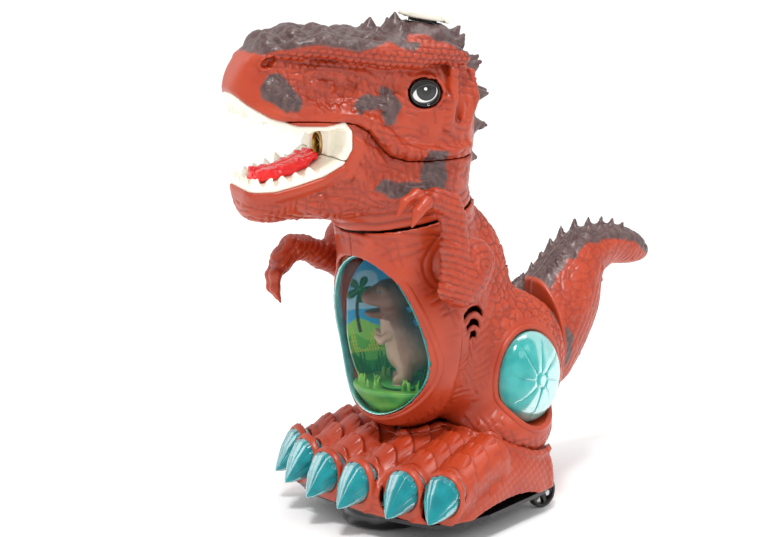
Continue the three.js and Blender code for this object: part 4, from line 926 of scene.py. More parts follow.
def torso_detail(v, outer):
    x, y, z = v.T
    big, near, _ = scales(warped(v, 1.1, 7, 51), (5.6, 4.8, 4.8), 54, 0.17)
    ring = np.where(y < -38, window_distance(x, z), 99)
    thigh = np.where(np.abs(x) > 24, thigh_distance(y, z), 99)
    border = np.minimum(ring, thigh)
    plain_skin = smoothstep(border, 4.5, 6.5)
    pebbled = smoothstep(y, -26, -6) * smoothstep(z, 62, 76)
    shoulder = np.hypot(y - SHOULDER[1], z - SHOULDER[2] + 2)
    near_shoulder = smoothstep(21 - shoulder, 0, 6) * (np.abs(x) > 22)
    neck = smoothstep(z, 155, 160)
    tail_edge = smoothstep(TAIL_PLANE_Y - 1 - y, 0, 3)
    woven = hatch(v, (0.2, 1, 0.5), (0, -0.4, 1), 3.9, 160) * (1 - pebbled) * (1 - near_shoulder) * (1 - neck)
    upper = smoothstep(z, 84, 110) * pebbled
    depth = -0.7 * (1 - big) * pebbled + 0.8 * (0.5 - near) * upper - 0.6 * woven
    rings = wrinkles(shoulder + 1.2 * noise(v, 8, 56), 4.2, 3) * near_shoulder
    collar = wrinkles(z + 0.2 * np.abs(x) + 1.4 * noise(v, 12, 57), 5.2, 4) * neck
    depth -= 0.6 * rings + 0.55 * collar
    round_bump, _, pick = cells(v, (11, 11, 11), 58)
    depth += 0.9 * smoothstep(0.22 - round_bump, 0, 0.18) * (pick > 0.4)
    depth *= plain_skin
    # painted shade: groove darkens the pebble cracks, hatch wrinkles, shoulder rings and collar rings
    groove = (0.55 * (1 - big) * pebbled + 0.4 * woven + 0.45 * rings + 0.45 * collar) * plain_skin
    return depth * outer * tail_edge, np.clip(groove, 0, 1) * outer


def sound_slots(p):
    x, y, z = p
    made = None
    for z0, half, bow in ((118, 8.6, 4), (110.8, 5.8, 2.6), (104.4, 3.4, 1.2)):
        along = (y + 29) / half
        line = z - (z0 - bow * along**2)
        d = np.maximum(np.abs(line) - 1.45, np.abs(y + 29) - half)
        made = d if made is None else np.minimum(made, d)
    return np.maximum(made, 24 - x)


def half_shell(grid, shell, s, reach):
    """One half of a shell that is split down its middle, with all within reach of the seam made flat."""
    v, faces = grid.surface(np.maximum(shell, GAP / 2 - s * grid.p[0]))
    v = smoothed(v, faces)
    v[:, 0] = np.where(np.abs(v[:, 0]) < reach, s * GAP / 2, v[:, 0])
    return v, faces


def raised_off_seam(v, faces, depth, reach):
    """v raised along its normals, with the seam face left flat."""
    raised = v + normals_of(v, faces) * depth[:, None]
    raised[:, 0] = np.where(np.abs(v[:, 0]) < reach, v[:, 0], raised[:, 0])
    return raised


def build_torso():
    grid = Grid((-50, -88, 34), (50, 50, 180), 0.95)
    p = grid.p
    x, y, z = p
    base = grid.even(torso_base(p))
    form = grid.even(torso_form(p))
    along = NECK_AXIS[1] * (y - NECK[1]) + NECK_AXIS[2] * (z - NECK[2])
    rear = y - 47.7 + 0.105 * np.abs(x)
    hollow = np.maximum(np.maximum(base, form) + WALL, rear + 2 * WALL)
    shell = np.maximum(form, -hollow)
    shell = meet(shell, along + NECK_GAP, 0.8)
    shell = meet(shell, rear, 0.8)
    shell = np.maximum(shell, 36 - z)
    ring = window_distance(x, z)
    shell = cut(shell, np.maximum(ring, y + 44), 0.8)
    thigh = np.maximum(thigh_distance(y, z) - GAP, 28 - np.abs(x))
    shell = cut(shell, thigh, 0.8)
    shell = cut(shell, np.maximum(np.hypot(y - SHOULDER[1], z - SHOULDER[2]) - SHOULDER_HOLE, 15 - np.abs(x)))
    shell = cut(shell, np.maximum(np.hypot(x, z - TAIL_HUB[2]) - TAIL_OPENING, 30 - y))
    shell = cut(shell, sound_slots(p), 0.5)
    for s, word in SIDES:
        v, faces = half_shell(grid, shell, s, TORSO_SEAM)
        outer = smoothstep(grid.sample(form, v), -1.4, -0.4)
        depth, crease_shade = torso_detail(v, outer)
        # painted shade inside and around the sound slots, added to the painted crease shade
        slot_shade = smoothstep(-sound_slots(v.T), -0.9, 0.2)
        masks = {"Paint": torso_paint(v) * outer, "CreaseShade": np.maximum(crease_shade, slot_shade)}
        raised = raised_off_seam(v, faces, depth, TORSO_SEAM)
        stands_for = [f"torso_shell_{word}"]
        piece(f"torso_skin_{word}", raised, faces, SKIN, "torso", stands_for, "skin", masks=masks)


def surface_x(y, z):
    """How far the flank of the torso stands from the middle plane at (y, z)."""
    low, high = np.full(y.shape, 20.0), np.full(y.shape, 56.0)
    for _ in range(24):
        x = (low + high) / 2
        inside = torso_form((x, y, z)) < 0
        low, high = np.where(inside, x, low), np.where(inside, high, x)
    return low


def sweep(path, outward, radius, sides=20):
    """A closed tube along a closed path. Outward is where its section starts at each point."""
    ahead = np.roll(path, -1, 0) - np.roll(path, 1, 0)
    ahead /= np.linalg.norm(ahead, axis=1, keepdims=True)
    across = outward - ahead * (outward * ahead).sum(1, keepdims=True)
    across /= np.linalg.norm(across, axis=1, keepdims=True)
    up = np.cross(ahead, across)
    t = np.arange(sides) * 2 * np.pi / sides
    cos, sin = np.cos(t)[None, :, None], np.sin(t)[None, :, None]
    v = path[:, None] + radius * (cos * across[:, None] + sin * up[:, None])
    faces = sheet_faces(len(path) + 1, sides, True) % (len(path) * sides)
    return v.reshape(-1, 3), faces[:, ::-1]


def bare(n):
    return {"Paint": np.zeros(n), "CreaseShade": np.zeros(n)}


def build_borders():
    """The smooth raised skin rings round the chest window and the thigh domes."""
    t = np.arange(240) * 2 * np.pi / 240
    grow = 1.7
    x = (WINDOW_SHAPE["half"] + grow) * np.cos(t)
    up = np.where(np.sin(t) > 0, WINDOW_SHAPE["up"], WINDOW_SHAPE["down"]) + grow
    z = WINDOW_SHAPE["z"] + up * np.sin(t)
    rx, ry, rz = (r + BEZEL for r in CHEST_R)
    y = CHEST_C[1] - ry * np.sqrt(np.maximum(1 - (x / rx) ** 2 - ((z - CHEST_C[2]) / rz) ** 2, 0))
    path = np.stack([x, y + 1.1, z], 1)
    outward = np.stack([np.cos(t), np.full_like(t, -0.4), np.sin(t)], 1)
    v, faces = sweep(path, outward, 1.9)
    piece("window_border", v, faces, SKIN, "torso", slot="skin", masks=bare(len(v)))
    y = THIGH["y"] + (THIGH["ry"] + 1.6) * np.cos(t)
    z = THIGH["z"] + (THIGH["rz"] + 1.6) * np.sin(t)
    path = np.stack([surface_x(y, z) - 1.0, y, z], 1)
    outward = np.stack([np.full_like(t, 0.4), np.cos(t), np.sin(t)], 1)
    v, faces = sweep(path, outward, 1.9)
    for s, word in SIDES:
        piece(f"thigh_border_{word}", *mirrored(v, faces, s), SKIN, "torso", slot="skin", masks=bare(len(v)))


def build_chest_window():
    """A thick clear dome cut from the chest's own ellipsoid."""
    rings, sides = 60, 120
    rho = np.linspace(0, 1, rings)
    t = (np.arange(sides) + 0.5) * 2 * np.pi / sides
    layers = []
    for grow, inset in ((1.2, 0.35), (-1.0, 0.9)):
        x = (WINDOW_SHAPE["half"] - inset) * rho[:, None] * np.cos(t)
        span = np.where(np.sin(t) > 0, WINDOW_SHAPE["up"], WINDOW_SHAPE["down"]) - inset
        z = WINDOW_SHAPE["z"] + span * rho[:, None] * np.sin(t)
        r = [v + grow for v in CHEST_R]
        inside = 1 - (x / r[0]) ** 2 - ((z - CHEST_C[2]) / r[2]) ** 2
        y = CHEST_C[1] - r[1] * np.sqrt(np.maximum(inside, 0.0))
        layers.append(np.stack([x, y, z], -1).reshape(-1, 3))
    n = rings * sides
    face = sheet_faces(rings, sides, True)
    edge = (rings - 1) * sides + np.arange(sides)
    after = (rings - 1) * sides + (np.arange(sides) + 1) % sides
    rim = np.stack([edge, after, after + n, edge + n], 1)
    v = np.concatenate(layers)
    faces = np.concatenate([face[:, ::-1], face + n, rim[:, ::-1]])
    piece("chest_dome", v, faces, WINDOW, "torso", ["chest_window"], "teal")
    band = []
    for scale in (0.984, 1.0):
        for layer in (layers[0], layers[1]):
            ring = layer[edge]
            centre = np.array((0, 0, WINDOW_SHAPE["z"]))
            moved = centre + (ring - centre) * np.array((scale, 1, scale))
            band.append(moved + np.array((0, 0.9 if scale < 1 else 0, 0)))
    order = [band[0], band[2], band[3], band[1]]
    v = np.concatenate(order)
    faces = []
    for i in range(4):
        a = i * sides + np.arange(sides)
        b = i * sides + (np.arange(sides) + 1) % sides
        c = ((i + 1) % 4) * sides
        faces.append(np.stack([a, b, b - i * sides + c, a - i * sides + c], 1))
    piece("chest_dome_rim", v, np.concatenate(faces), TEAL, "torso", slot="teal")


def dome_profile(rho, t):
    """Height of the thigh dome: a low dome with a small hub and eight pinwheel facets."""
    dome = THIGH["depth"] * np.sqrt(np.maximum(1 - (rho * 0.995) ** 2, 0))
    turn = t + 0.25 * rho
    spoke = 1 - smoothstep(np.abs(np.sin(4 * turn)) * rho, 0.02, 0.07)
    ribbed = smoothstep(rho, 0.12, 0.24) * smoothstep(0.98 - rho, 0, 0.12)
    flute = (0.35 * np.abs(np.sin(4 * turn)) - 0.55 * spoke) * ribbed
    hub = 0.8 * smoothstep(0.15 - rho, 0, 0.04) - 0.5 * np.exp(-(((rho - 0.17) / 0.025) ** 2))
    return dome + flute + hub


LAMP_OUTLINE = [
    (0.01, 3.4), (1.2, 3.1), (2.1, 2.2), (2.5, 0.8), (2.5, -3), (3, -3.2), (3, -4.4), (0.01, -4.4),
]


def build_thighs():
    rings, sides = 70, 192
    rho = np.sin(np.linspace(0, 1, rings) * np.pi / 2)
    t = np.arange(sides) * 2 * np.pi / sides
    rr, tt = np.meshgrid(rho, t, indexing="ij")
    ry, rz = THIGH["ry"] - GAP, THIGH["rz"] - GAP
    outer = np.stack([dome_profile(rr, tt), ry * rr * np.cos(tt), rz * rr * np.sin(tt)], -1).reshape(-1, 3)
    inner_h = (THIGH["depth"] - 2) * np.sqrt(np.maximum(1 - rr**2, 0))
    inner = np.stack([inner_h, (ry - 2.1) * rr * np.cos(tt), (rz - 2.1) * rr * np.sin(tt)], -1).reshape(-1, 3)
    down = np.full(sides, -3.0)
    skirt = [np.stack([down, (ry - k) * np.cos(t), (rz - k) * np.sin(t)], -1) for k in (0, 2.1)]
    n, last = rings * sides, (rings - 1) * sides
    face = sheet_faces(rings, sides, True)
    a, b = np.arange(sides), (np.arange(sides) + 1) % sides
    v = np.concatenate([outer, inner, *skirt])
    so, si = 2 * n, 2 * n + sides
    faces = np.concatenate([
        face, face[:, ::-1] + n,
        np.stack([last + a, last + b, so + b, so + a], 1), np.stack([so + a, so + b, si + b, si + a], 1),
        np.stack([si + a, si + b, n + last + b, n + last + a], 1)])
    dome = v + np.array((THIGH["x"], THIGH["y"], THIGH["z"]))
    dish_h = -1.2 - 3.6 * (1 - rr**2) + 0.5 * np.abs(np.sin(6 * tt)) * rr
    front = np.stack([dish_h, (ry - 2.4) * rr * np.cos(tt), (rz - 2.4) * rr * np.sin(tt)], -1).reshape(-1, 3)
    dish = np.concatenate([front, front - np.array((1.2, 0, 0))])
    edge = np.stack([last + a, last + b, n + last + b, n + last + a], 1)
    dish_faces = np.concatenate([face, face[:, ::-1] + n, edge])
    lamp, lamp_faces = lathe(LAMP_OUTLINE, 32)
    lamp = across_x(lamp, 0, 0) - np.array((1.4, 0, 0))
    dish, dish_faces = merged((dish, dish_faces), (lamp, lamp_faces[:, ::-1]))
    dish = dish + np.array((36.5, THIGH["y"], THIGH["z"]))
    for s, word in SIDES:
        cover_piece, backing = mirrored(dome, faces, s), mirrored(dish, dish_faces, s)
        piece(f"thigh_dome_{word}", *cover_piece, TEAL, "torso", [f"thigh_window_{word}"], "teal")
        piece(f"thigh_dish_{word}", *backing, WHITE, "torso", [f"thigh_reflector_{word}"], "white")


def scene_colours(u, z):
    """The printed meadow: sky, sun spiral, dark palm and grass tufts. u runs along the wall, z is height."""
    colour = np.ones((len(u), 3)) * tone(72, 186, 244)
    flat = np.stack([u, z, np.zeros_like(u)], 1)

    def paint(mask, shade):
        nonlocal colour
        colour = painted_over(colour, mask, shade)

    cloud = noise(flat, 14, 61)
    paint(smoothstep(cloud, 0.1, 0.35) * (z > 110) * 0.7, (206, 238, 250))
    hill = 99 + 5 * np.sin(u / 9.0) + 2 * np.sin(u / 4.1 + 1)
    paint(smoothstep(hill - z, 0, 0.4), (160, 228, 96))
    paint(smoothstep(hill - 9 - z + 2 * np.sin(u / 3), 0, 0.4), (110, 206, 74))
    paint(smoothstep(84 + 3 * np.sin(u / 5) - z, 0, 0.4), (52, 170, 62))
    sx, sz = u + 21, z - 130
    r, a = np.hypot(sx, sz), np.arctan2(sz, sx)
    paint(smoothstep(8.6 - r - 0.8 * np.cos(12 * a), 0, 0.3), (240, 226, 92))
    paint(smoothstep(6.9 - r, 0, 0.3), (196, 214, 64))
    spiral = np.abs((r - 1.1 * (a / np.pi) + 6) % 2.2 - 1.1)
    paint(smoothstep(0.42 - spiral, 0, 0.2) * (r < 6.6), (120, 138, 40))
    paint(smoothstep(0.4 - np.abs(r - 7.2), 0, 0.2), (150, 160, 50))
    for u0, z0, size in ((-26, 114, 10), (-46, 121, 9), (10, 118, 11), (30, 110, 9)):
        trunk = np.abs(u - u0 - 1.6 * np.sin((z - z0) / 7)) - 0.9
        paint(smoothstep(-trunk, -0.3, 0.1) * (z < z0) * (z > z0 - 24), (74, 62, 44))
        pr, pa = np.hypot(u - u0, (z - z0) * 1.15), np.arctan2(z - z0, u - u0)
        leaf = size * np.abs(np.cos(2.5 * pa + 0.4)) ** 0.55
        paint(smoothstep(leaf - pr, 0, 0.4) * (pr > 0.4), (36, 92, 58))
        vein = smoothstep(0.3 - np.abs(np.sin(2.5 * pa + 0.4)) * pr * 0.4, 0, 0.15)
        paint(vein * (pr < leaf * 0.9), (84, 150, 84))
    blade = z - 76 - 13 * np.abs(np.sin(u * 0.55 + 1.6 * np.sin(u * 0.23))) ** 2
    paint(smoothstep(-blade, 0, 0.5) * (np.sin(u * 3.1 + z * 0.5) > -0.1), (34, 122, 52))
    tuft = z - 88 - 12 * np.abs(np.sin(u * 0.27 + 2.4)) ** 6
    paint(smoothstep(-tuft, 0, 0.4) * (z > 86) * (np.sin(u * 4.2 + z) > 0.1), (226, 230, 70))
    return colour


def build_backdrop():
    """The curved printed card and the moulded meadow floor below it."""
    half = [(35, -57), (31, -45), (25, -35), (15, -26)]
    path = np.array(half + [(0, -22.5)] + [(-x, y) for x, y in reversed(half)], float)
    length = np.concatenate([[0], np.cumsum(np.hypot(*np.diff(path, axis=0).T))])
    columns, rows = 220, 150
    s = np.linspace(0, length[-1], columns)
    px, py = smooth_curve(length, path[:, 0], s), smooth_curve(length, path[:, 1], s)
    r = np.array(CHEST_R) - WALL - 0.9
    px *= 0.97
    reach = 1 - (px / r[0]) ** 2 - ((py - CHEST_C[1]) / r[1]) ** 2
    top = CHEST_C[2] + r[2] * np.sqrt(np.maximum(reach, 0.02))
    top = np.minimum(top, 143.5)
    f = np.linspace(0, 1, rows)[:, None]
    z = 72 + f * (top - 72)[None, :]
    room = np.maximum(1 - ((z - CHEST_C[2]) / r[2]) ** 2, 0.01)
    pull = np.minimum(1, np.sqrt(room / ((px / r[0]) ** 2 + ((py - CHEST_C[1]) / r[1]) ** 2)))
    x, y = px * pull, CHEST_C[1] + (py - CHEST_C[1]) * pull
    front = np.stack([x, y, z], -1).reshape(-1, 3)
    out = np.stack([px, py - CHEST_C[1]], 1)
    out /= np.linalg.norm(out, axis=1, keepdims=True)
    back = front.copy()
    back[:, 0] += np.tile(out[:, 0] * 0.8, rows)
    back[:, 1] += np.tile(out[:, 1] * 0.8, rows)
    n = len(front)
    face = sheet_faces(rows, columns)
    loop = np.concatenate([np.arange(columns), columns * np.arange(1, rows) + columns - 1,
                           n - 2 - np.arange(columns - 1), columns * np.arange(rows - 2, 0, -1)])
    rim = np.stack([loop, np.roll(loop, -1), np.roll(loop, -1) + n, loop + n], 1)
    u = np.tile(s - length[-1] / 2, rows)
    colour = scene_colours(-u, front[:, 2])
    card = (np.concatenate([front, back]), np.concatenate([face, face[:, ::-1] + n, rim[:, ::-1]]))
    grid = Grid((-33, -78, 64), (33, -18, 84), 0.75)
    gx, gy, gz = grid.p
    inside = ellipsoid(grid.p, CHEST_C, [v - WALL - 0.6 for v in CHEST_R])
    flat = np.hypot(gx, gy - CHEST_C[1])
    swell = 72.3 + 2.2 * smoothstep(flat, 15, 25)
    floor = meet(meet(gz - swell, 69.6 - gz, 0.5), np.maximum(inside, flat - 28.5), 0.5)
    hole = np.hypot(gx, gy - FIGURE_Y)
    floor = cut(floor, np.maximum(hole - 12.6, 71.2 - gz), 0.4)
    floor = cut(floor, hole - 2.6)
    rng = np.random.default_rng(7)
    for _ in range(26):
        a, d = rng.uniform(0, 2 * math.pi), rng.uniform(15.5, 24)
        cx, cy = d * math.cos(a), -45 + d * math.sin(a)
        for _ in range(3):
            lean = rng.uniform(-1.4, 1.4, 2)
            tip = (cx + lean[0], cy + lean[1], 77.0 + rng.uniform(0, 3))
            floor = join(floor, limb(grid.p, [(cx, cy, 72), tip], [1.0, 0.4]), 0.4)
    fv, ff = grid.surface(floor)
    bowl = Grid((-32, -78, 57), (32, -40, 73), 0.8)
    outside = ellipsoid(bowl.p, CHEST_C, [v - WALL - 0.6 for v in CHEST_R])
    inner = ellipsoid(bowl.p, CHEST_C, [v - WALL - 2.0 for v in CHEST_R])
    skirt = np.maximum(np.maximum(outside, -inner), np.maximum(58.6 - bowl.p[2], bowl.p[2] - 71.6))
    bv, bf = bowl.surface(np.maximum(skirt, bowl.p[1] + 42))
    fv, ff = merged((fv, ff), (bv, bf))
    shade = 0.5 + 0.5 * noise(fv, 5, 71)
    low, high = tone(38, 134, 58), tone(150, 210, 66)
    floor_colour = low + (high - low) * (shade[:, None] * 0.7 + 0.3 * smoothstep(fv[:, 2:3], 73, 78))
    v, faces = merged(card, (fv, ff))
    piece("meadow_scene", v, faces, PRINT, "torso", ["scene_backdrop"], "card",
          colour=np.concatenate([colour, np.ones_like(colour) * tone(235, 235, 230), floor_colour]))


def build_figure():
    """The little dinosaur and its turning base, modelled facing -Y and then turned."""
    grid = Grid((-16, -28, 66), (16, 24, 130), 0.6)
    p = grid.p
    x, y, z = p
    side = (np.abs(x), y, z)
    d = ellipsoid(p, (0, 3, 91), (10.5, 12.5, 12))
    d = join(d, ellipsoid(p, (0, -4, 103), (8.4, 8.6, 11)), 4)
    head = join(ellipsoid(p, (0, -8, 118), (9, 9.5, 8.6)), ellipsoid(p, (0, -15.5, 117), (7, 7, 5.2)), 3)
    head = join(head, ellipsoid(p, (0, -14, 109.6), (5.8, 7, 2.6)), 1.5)
    head = cut(head, ellipsoid(p, (0, -20, 112.6), (9, 9, 1.9)), 1)
    head = join(head, ellipsoid(side, (6.2, -11, 122.6), (2.6, 3, 2.6)), 1)
    d = join(d, head, 3)
    d = join(d, limb(p, [(0, 10, 90), (0, 15, 93), (0, 20, 98)], [7, 4.4, 1.5], 3), 3)
    d = join(d, limb(side, [(6, 1, 84), (6.4, 1, 78), (6.2, -3, 76)], [5, 3.8, 3], 2), 2)
    d = join(d, limb(side, [(6, -7, 100), (8, -12, 97), (6.6, -14.5, 99)], [2.6, 1.9, 1.3], 1), 1.2)
    for y0, z0 in ((-1, 124), (2.4, 117), (4.4, 109), (8.5, 102)):
        d = join(d, cone(p, (0, y0 - 1, z0 - 2), (0, y0 + 2.4, z0 + 1.6), 2.6, 0.6), 1)
    d = np.maximum(d, 73.6 - z)
    out = np.hypot(x, y)
    base = join(meet(out - 12, np.abs(z - 73.2) - 0.8, 0.5), np.maximum(out - 1.5, np.abs(z - 70.2) - 2.6))
    d = join(d, base)
    v, faces = grid.surface(d)
    v = smoothed(v, faces)
    vx, vy, vz = v.T
    wobble = noise(v, 3, 81)
    _, near, _ = scales(v, (2.6, 2.6, 2.6), 82)
    belly = smoothstep(-(vy + 2 + (vz - 90) * 0.28) + wobble, -0.5, 1.5) * (vz < 107)
    colour = painted_over(tone(150, 106, 84), smoothstep(vz + wobble, 101, 106), (118, 64, 44))
    colour = painted_over(colour, belly, (178, 142, 118))
    eye = smoothstep(1.5 - np.sqrt((np.abs(vx) - 8) ** 2 + (vy + 13) ** 2 + (vz - 121.5) ** 2), 0, 0.4)
    colour = painted_over(painted_over(colour, eye, (20, 16, 14)), vz < 74.2, (70, 160, 72))
    v = v + normals_of(v, faces) * (0.25 * (0.5 - near) * (vz > 75))[:, None]
    above = np.maximum(v[:, 2] - 74.4, 0)
    v = np.stack([v[:, 0] * (1 + 0.14 * smoothstep(above, 0, 6)), v[:, 1], v[:, 2] + 0.08 * above], 1)
    v = turned(v, "Z", FIGURE_HEADING) + np.array((0, FIGURE_Y, 0))
    piece("little_dinosaur", v, faces, FIGURE_PAINT, "figure", ["small_dinosaur"], "figure", colour=colour)


# ---------------------------------------------------------------- arms, tail


FOREARM = [
    (3, -9, -14), (3, -12, -6), (3, -14, 10), (3, -15, 24), (2.6, -18, 31), (2.4, -26, 35), (2, -32, 34.5),
]
FINGERS = (
    [(4.6, -29, 35), (6.2, -36, 35), (7.2, -42, 31), (7.4, -46.5, 24)],
    [(-0.4, -29, 36), (-1, -36, 38), (-1.6, -43, 35), (-1.6, -48.5, 28)],
)


def build_arms():
    grid = Grid((-20, -53, -28), (18, 17, 48), 0.7)
    p = grid.p
    x = p[0]
    ball = ellipsoid(p, (0, 0, 0), (11.2, 13, 13.2))
    upper = limb(p, [(0, 0, 0), (2, -5, -8), (3, -10, -13)], [10.8, 10.6, 9], 4)
    fore = limb(p, FOREARM, [6, 8.8, 7.6, 6.6, 7, 6, 4.2], 3)
    arm = join(join(ball, upper, 4), fore, 3)
    for finger in FINGERS:
        arm = join(arm, limb(p, finger, [3.9, 3.3, 2.6, 0.7], 2), 2)
    arm = join(arm, ellipsoid(p, (3, -20, -12), (5, 4, 5)), 3)
    arm = meet(arm, -11.5 - x, 0.6)
    pin = np.maximum(np.hypot(p[1], p[2]) - 3.5, np.abs(x + 11.45) - 5.45)
    flange = np.maximum(np.hypot(p[1], p[2]) - 5.5, np.abs(x + 16) - 0.9)
    arm = join(arm, join(pin, flange))
    v, faces = grid.surface(arm)
    v = smoothed(v, faces)
    vx, vy, vz = v.T
    outer = smoothstep(vx, -11, -9)
    claw = smoothstep(-33 - vy, 0, 3)
    warp = 0.9 * noise(v, 7, 91)
    fore_part = smoothstep(-4 - vy, 0, 5)
    ring_s = np.where(fore_part > 0.5, vz + 0.35 * vy, np.hypot(vy, vz)) + warp
    ring = wrinkles(ring_s, 3.7, 3) * (1 - claw)
    small = scales(v + 0.7 * noise(v, 5, 92)[:, None], (4.2, 4.2, 4.2), 93, 0.17)[0]
    depth = (-0.45 * ring - 0.28 * (1 - small) * (1 - claw)) * outer
    knuckle = np.exp(-((vy + 30) / 2.2) ** 2) * 0.5
    v = v + normals_of(v, faces) * ((depth + knuckle * outer * (vz > 25))[:, None])
    # painted shade in the wrinkles and scale cracks, and a painted shade line at the claw roots
    crease_shade = np.clip(0.45 * ring + 0.25 * (1 - small) * (1 - claw), 0, 1) * outer
    crease_shade = np.maximum(crease_shade, 0.8 * np.exp(-((vy + 33.5) / 0.9) ** 2) * (vz > 20))
    masks = {"Paint": np.zeros(len(v)), "CreaseShade": crease_shade}
    for s, word in SIDES:
        lifted = v if s > 0 else turned(v, "X", RIGHT_ARM_TURN)
        arm = mirrored(lifted + np.array(SHOULDER), faces, s)
        piece(f"arm_skin_{word}", *arm, SKIN, f"arm_{word}", [f"arm_{word}"], "skin", masks=masks)


TAIL_STATIONS = [
    (48.4, 84, 30.5), (60, 94, 28), (72, 106, 24.5), (80, 119, 20), (91, 129, 16), (109, 133.5, 12.6),
    (127, 130.5, 10.5), (138, 127, 6.5), (142, 125.5, 2.5),
]
TAIL_SPIKES = (
    (57, 121.5, 40), (64, 127.5, 38), (71, 134.5, 34), (79, 141, 24), (89, 144.5, 6), (99, 145.6, -4),
    (109, 145.3, -8), (118, 142.6, -14),
)

TAIL_PIN_HOLE = 2.85
TAIL_PATCH = [(47, 96), (52, 97), (57, 90), (56, 80), (52, 72), (47, 70)]


def tail_line(p, inset=0.0):
    """Distance to the tail's swept form: discs across a curved line, a little narrower than they are tall."""
    x, y, z = p
    points = np.array(TAIL_STATIONS, float)
    steps = np.linspace(0, len(points) - 1, 33)
    i = np.arange(len(points))
    cy, cz, cr = (smooth_curve(i, points[:, k], steps) for k in range(3))
    made = None
    for a in range(len(steps) - 1):
        ay, az, by, bz = cy[a], cz[a], cy[a + 1], cz[a + 1]
        ey, ez = by - ay, bz - az
        t = np.clip(((y - ay) * ey + (z - az) * ez) / (ey * ey + ez * ez), 0, 1)
        r = cr[a] + (cr[a + 1] - cr[a]) * t - inset
        d = np.sqrt((x / 0.92) ** 2 + (y - ay - t * ey) ** 2 + (z - az - t * ez) ** 2) - np.maximum(r, 0.6)
        made = d if made is None else np.minimum(made, d)
    return made


def build_tail():
    grid = Grid((-34, 44, 48), (34, 147, 160), 0.95)
    p = grid.p
    x, y, z = p
    base = grid.even(tail_line(p))
    form = base
    for y0, z0, lean in TAIL_SPIKES:
        a = math.radians(lean)
        size = float(np.interp(y0, [57, 89, 118], [1.0, 0.85, 0.55]))
        for off in (-1, 1):
            foot = (off * 6 * size, y0, z0 - 4)
            tip = (off * 7 * size, y0 + 1.5 - 3 * math.sin(a), z0 + 5.6 * size)
            form = join(form, cone(p, foot, tip, 5 * size, 0.9), 1.2)
    hollow = np.maximum(grid.even(tail_line(p, WALL)), y - 128)
    mouth = np.maximum(hollow, np.where(y < 51.4, np.hypot(x, z - TAIL_HUB[2]) - 23.5, -9))
    shell = np.maximum(form, -mouth)
    shell = meet(shell, 48.4 - y, 0.6)
    off_pin = np.hypot(x, y - TAIL_HUB[1])
    hub = cut(meet(off_pin - 5, np.abs(z - 85) - 9, 0.3), off_pin - TAIL_PIN_HOLE)
    bridge = np.maximum(block(p, (-28, 49, 82), (28, 55, 88)), 4.5 - off_pin)
    shell = join(shell, join(hub, np.maximum(bridge, base + 0.5)))
    for s, word in SIDES:
        v, faces = half_shell(grid, shell, s, TAIL_SEAM)
        outer = smoothstep(grid.sample(form, v), -1.3, -0.4) * smoothstep(v[:, 1], 49.6, 51.5)
        _, vy, vz = v.T
        scale, near, _ = scales(warped(v, 0.8, 6, 101), (5.4, 5.2, 5.2), 104, 0.17)
        middle = np.interp(vy, [48, 60, 72, 80, 91, 109, 142], [84, 92, 104, 116, 126, 131, 127])
        upper = smoothstep(vz - middle, -4, 4)
        ring = wrinkles(vy * 0.75 - vz * 0.55 + 1.0 * noise(v, 8, 105), 3.6, 3) * (1 - upper)
        bump, _, pick = cells(v, (9, 9, 9), 106)
        depth = 0.4 * (scale - 1) * (0.4 + 0.6 * upper) + 0.3 * (0.5 - near) * upper - 0.4 * ring
        depth += 0.8 * smoothstep(0.22 - bump, 0, 0.18) * (pick > 0.4)
        # painted shade in the scale cracks and wrinkles
        crease_shade = np.clip(0.45 * (1 - scale) * (0.4 + 0.6 * upper) + 0.4 * ring, 0, 1) * outer
        top = np.interp(vy, [48, 56, 68, 84, 105, 124, 140], [117, 127, 137, 145, 144.5, 139, 128])
        wobble = 1.6 * noise(v, 6, 107) + 0.6 * noise(v, 2.5, 108)
        reach = np.interp(vy, [48, 58, 70, 95, 120, 142], [6, 6, 7.5, 6.5, 5, 3.5])
        low_patch = -polygon(vy, vz, TAIL_PATCH) + wobble * 0.7
        paint = smoothstep(np.maximum(reach - (top - vz) + wobble, low_patch), -0.5, 0.8)
        masks = {"Paint": paint * outer, "CreaseShade": crease_shade}
        raised = raised_off_seam(v, faces, depth * outer, TAIL_SEAM)
        piece(f"tail_skin_{word}", raised, faces, SKIN, "tail", [f"tail_shell_{word}"], "skin", masks=masks)


# ---------------------------------------------------------------- feet

FOOT_STATIONS = [  # y, half width, top
    (-88, 30, 33), (-82, 50, 37), (-75, 61, 41), (-60, 67, 46), (-40, 66, 51), (-20, 61, 53), (0, 56, 51),
    (14, 52, 47), (22, 49, 43), (26, 44, 37),
]
FOOT_BOTTOM = 14
TOES = [((15, -36), (13, -89)), ((32, -32), (40, -83)), ((48, -26), (60, -73))]
CLAWS = [(13, -88, 0.0), (41, -80, 0.12), (61, -70.5, 0.24)]
CLAW_ROOT, CLAW_LENGTH = 6, 20.4


def foot_body(p, inset=0.0):
    stations = [(y, w - inset, 2 * FOOT_BOTTOM - (top - inset), top - inset) for y, w, top in FOOT_STATIONS]
    d = loft(p, stations, 3.2)
    d = meet(d, -89 + inset - p[1], 3)
    return meet(d, p[1] - 26.5 + inset, 3)


def toe_frame(x, y, toe):
    (x0, y0), (x1, y1) = toe
    ex, ey = x1 - x0, y1 - y0
    length = math.hypot(ex, ey)
    ex, ey = ex / length, ey / length
    return (x - x0) * ex + (y - y0) * ey, (x - x0) * -ey + (y - y0) * ex, length


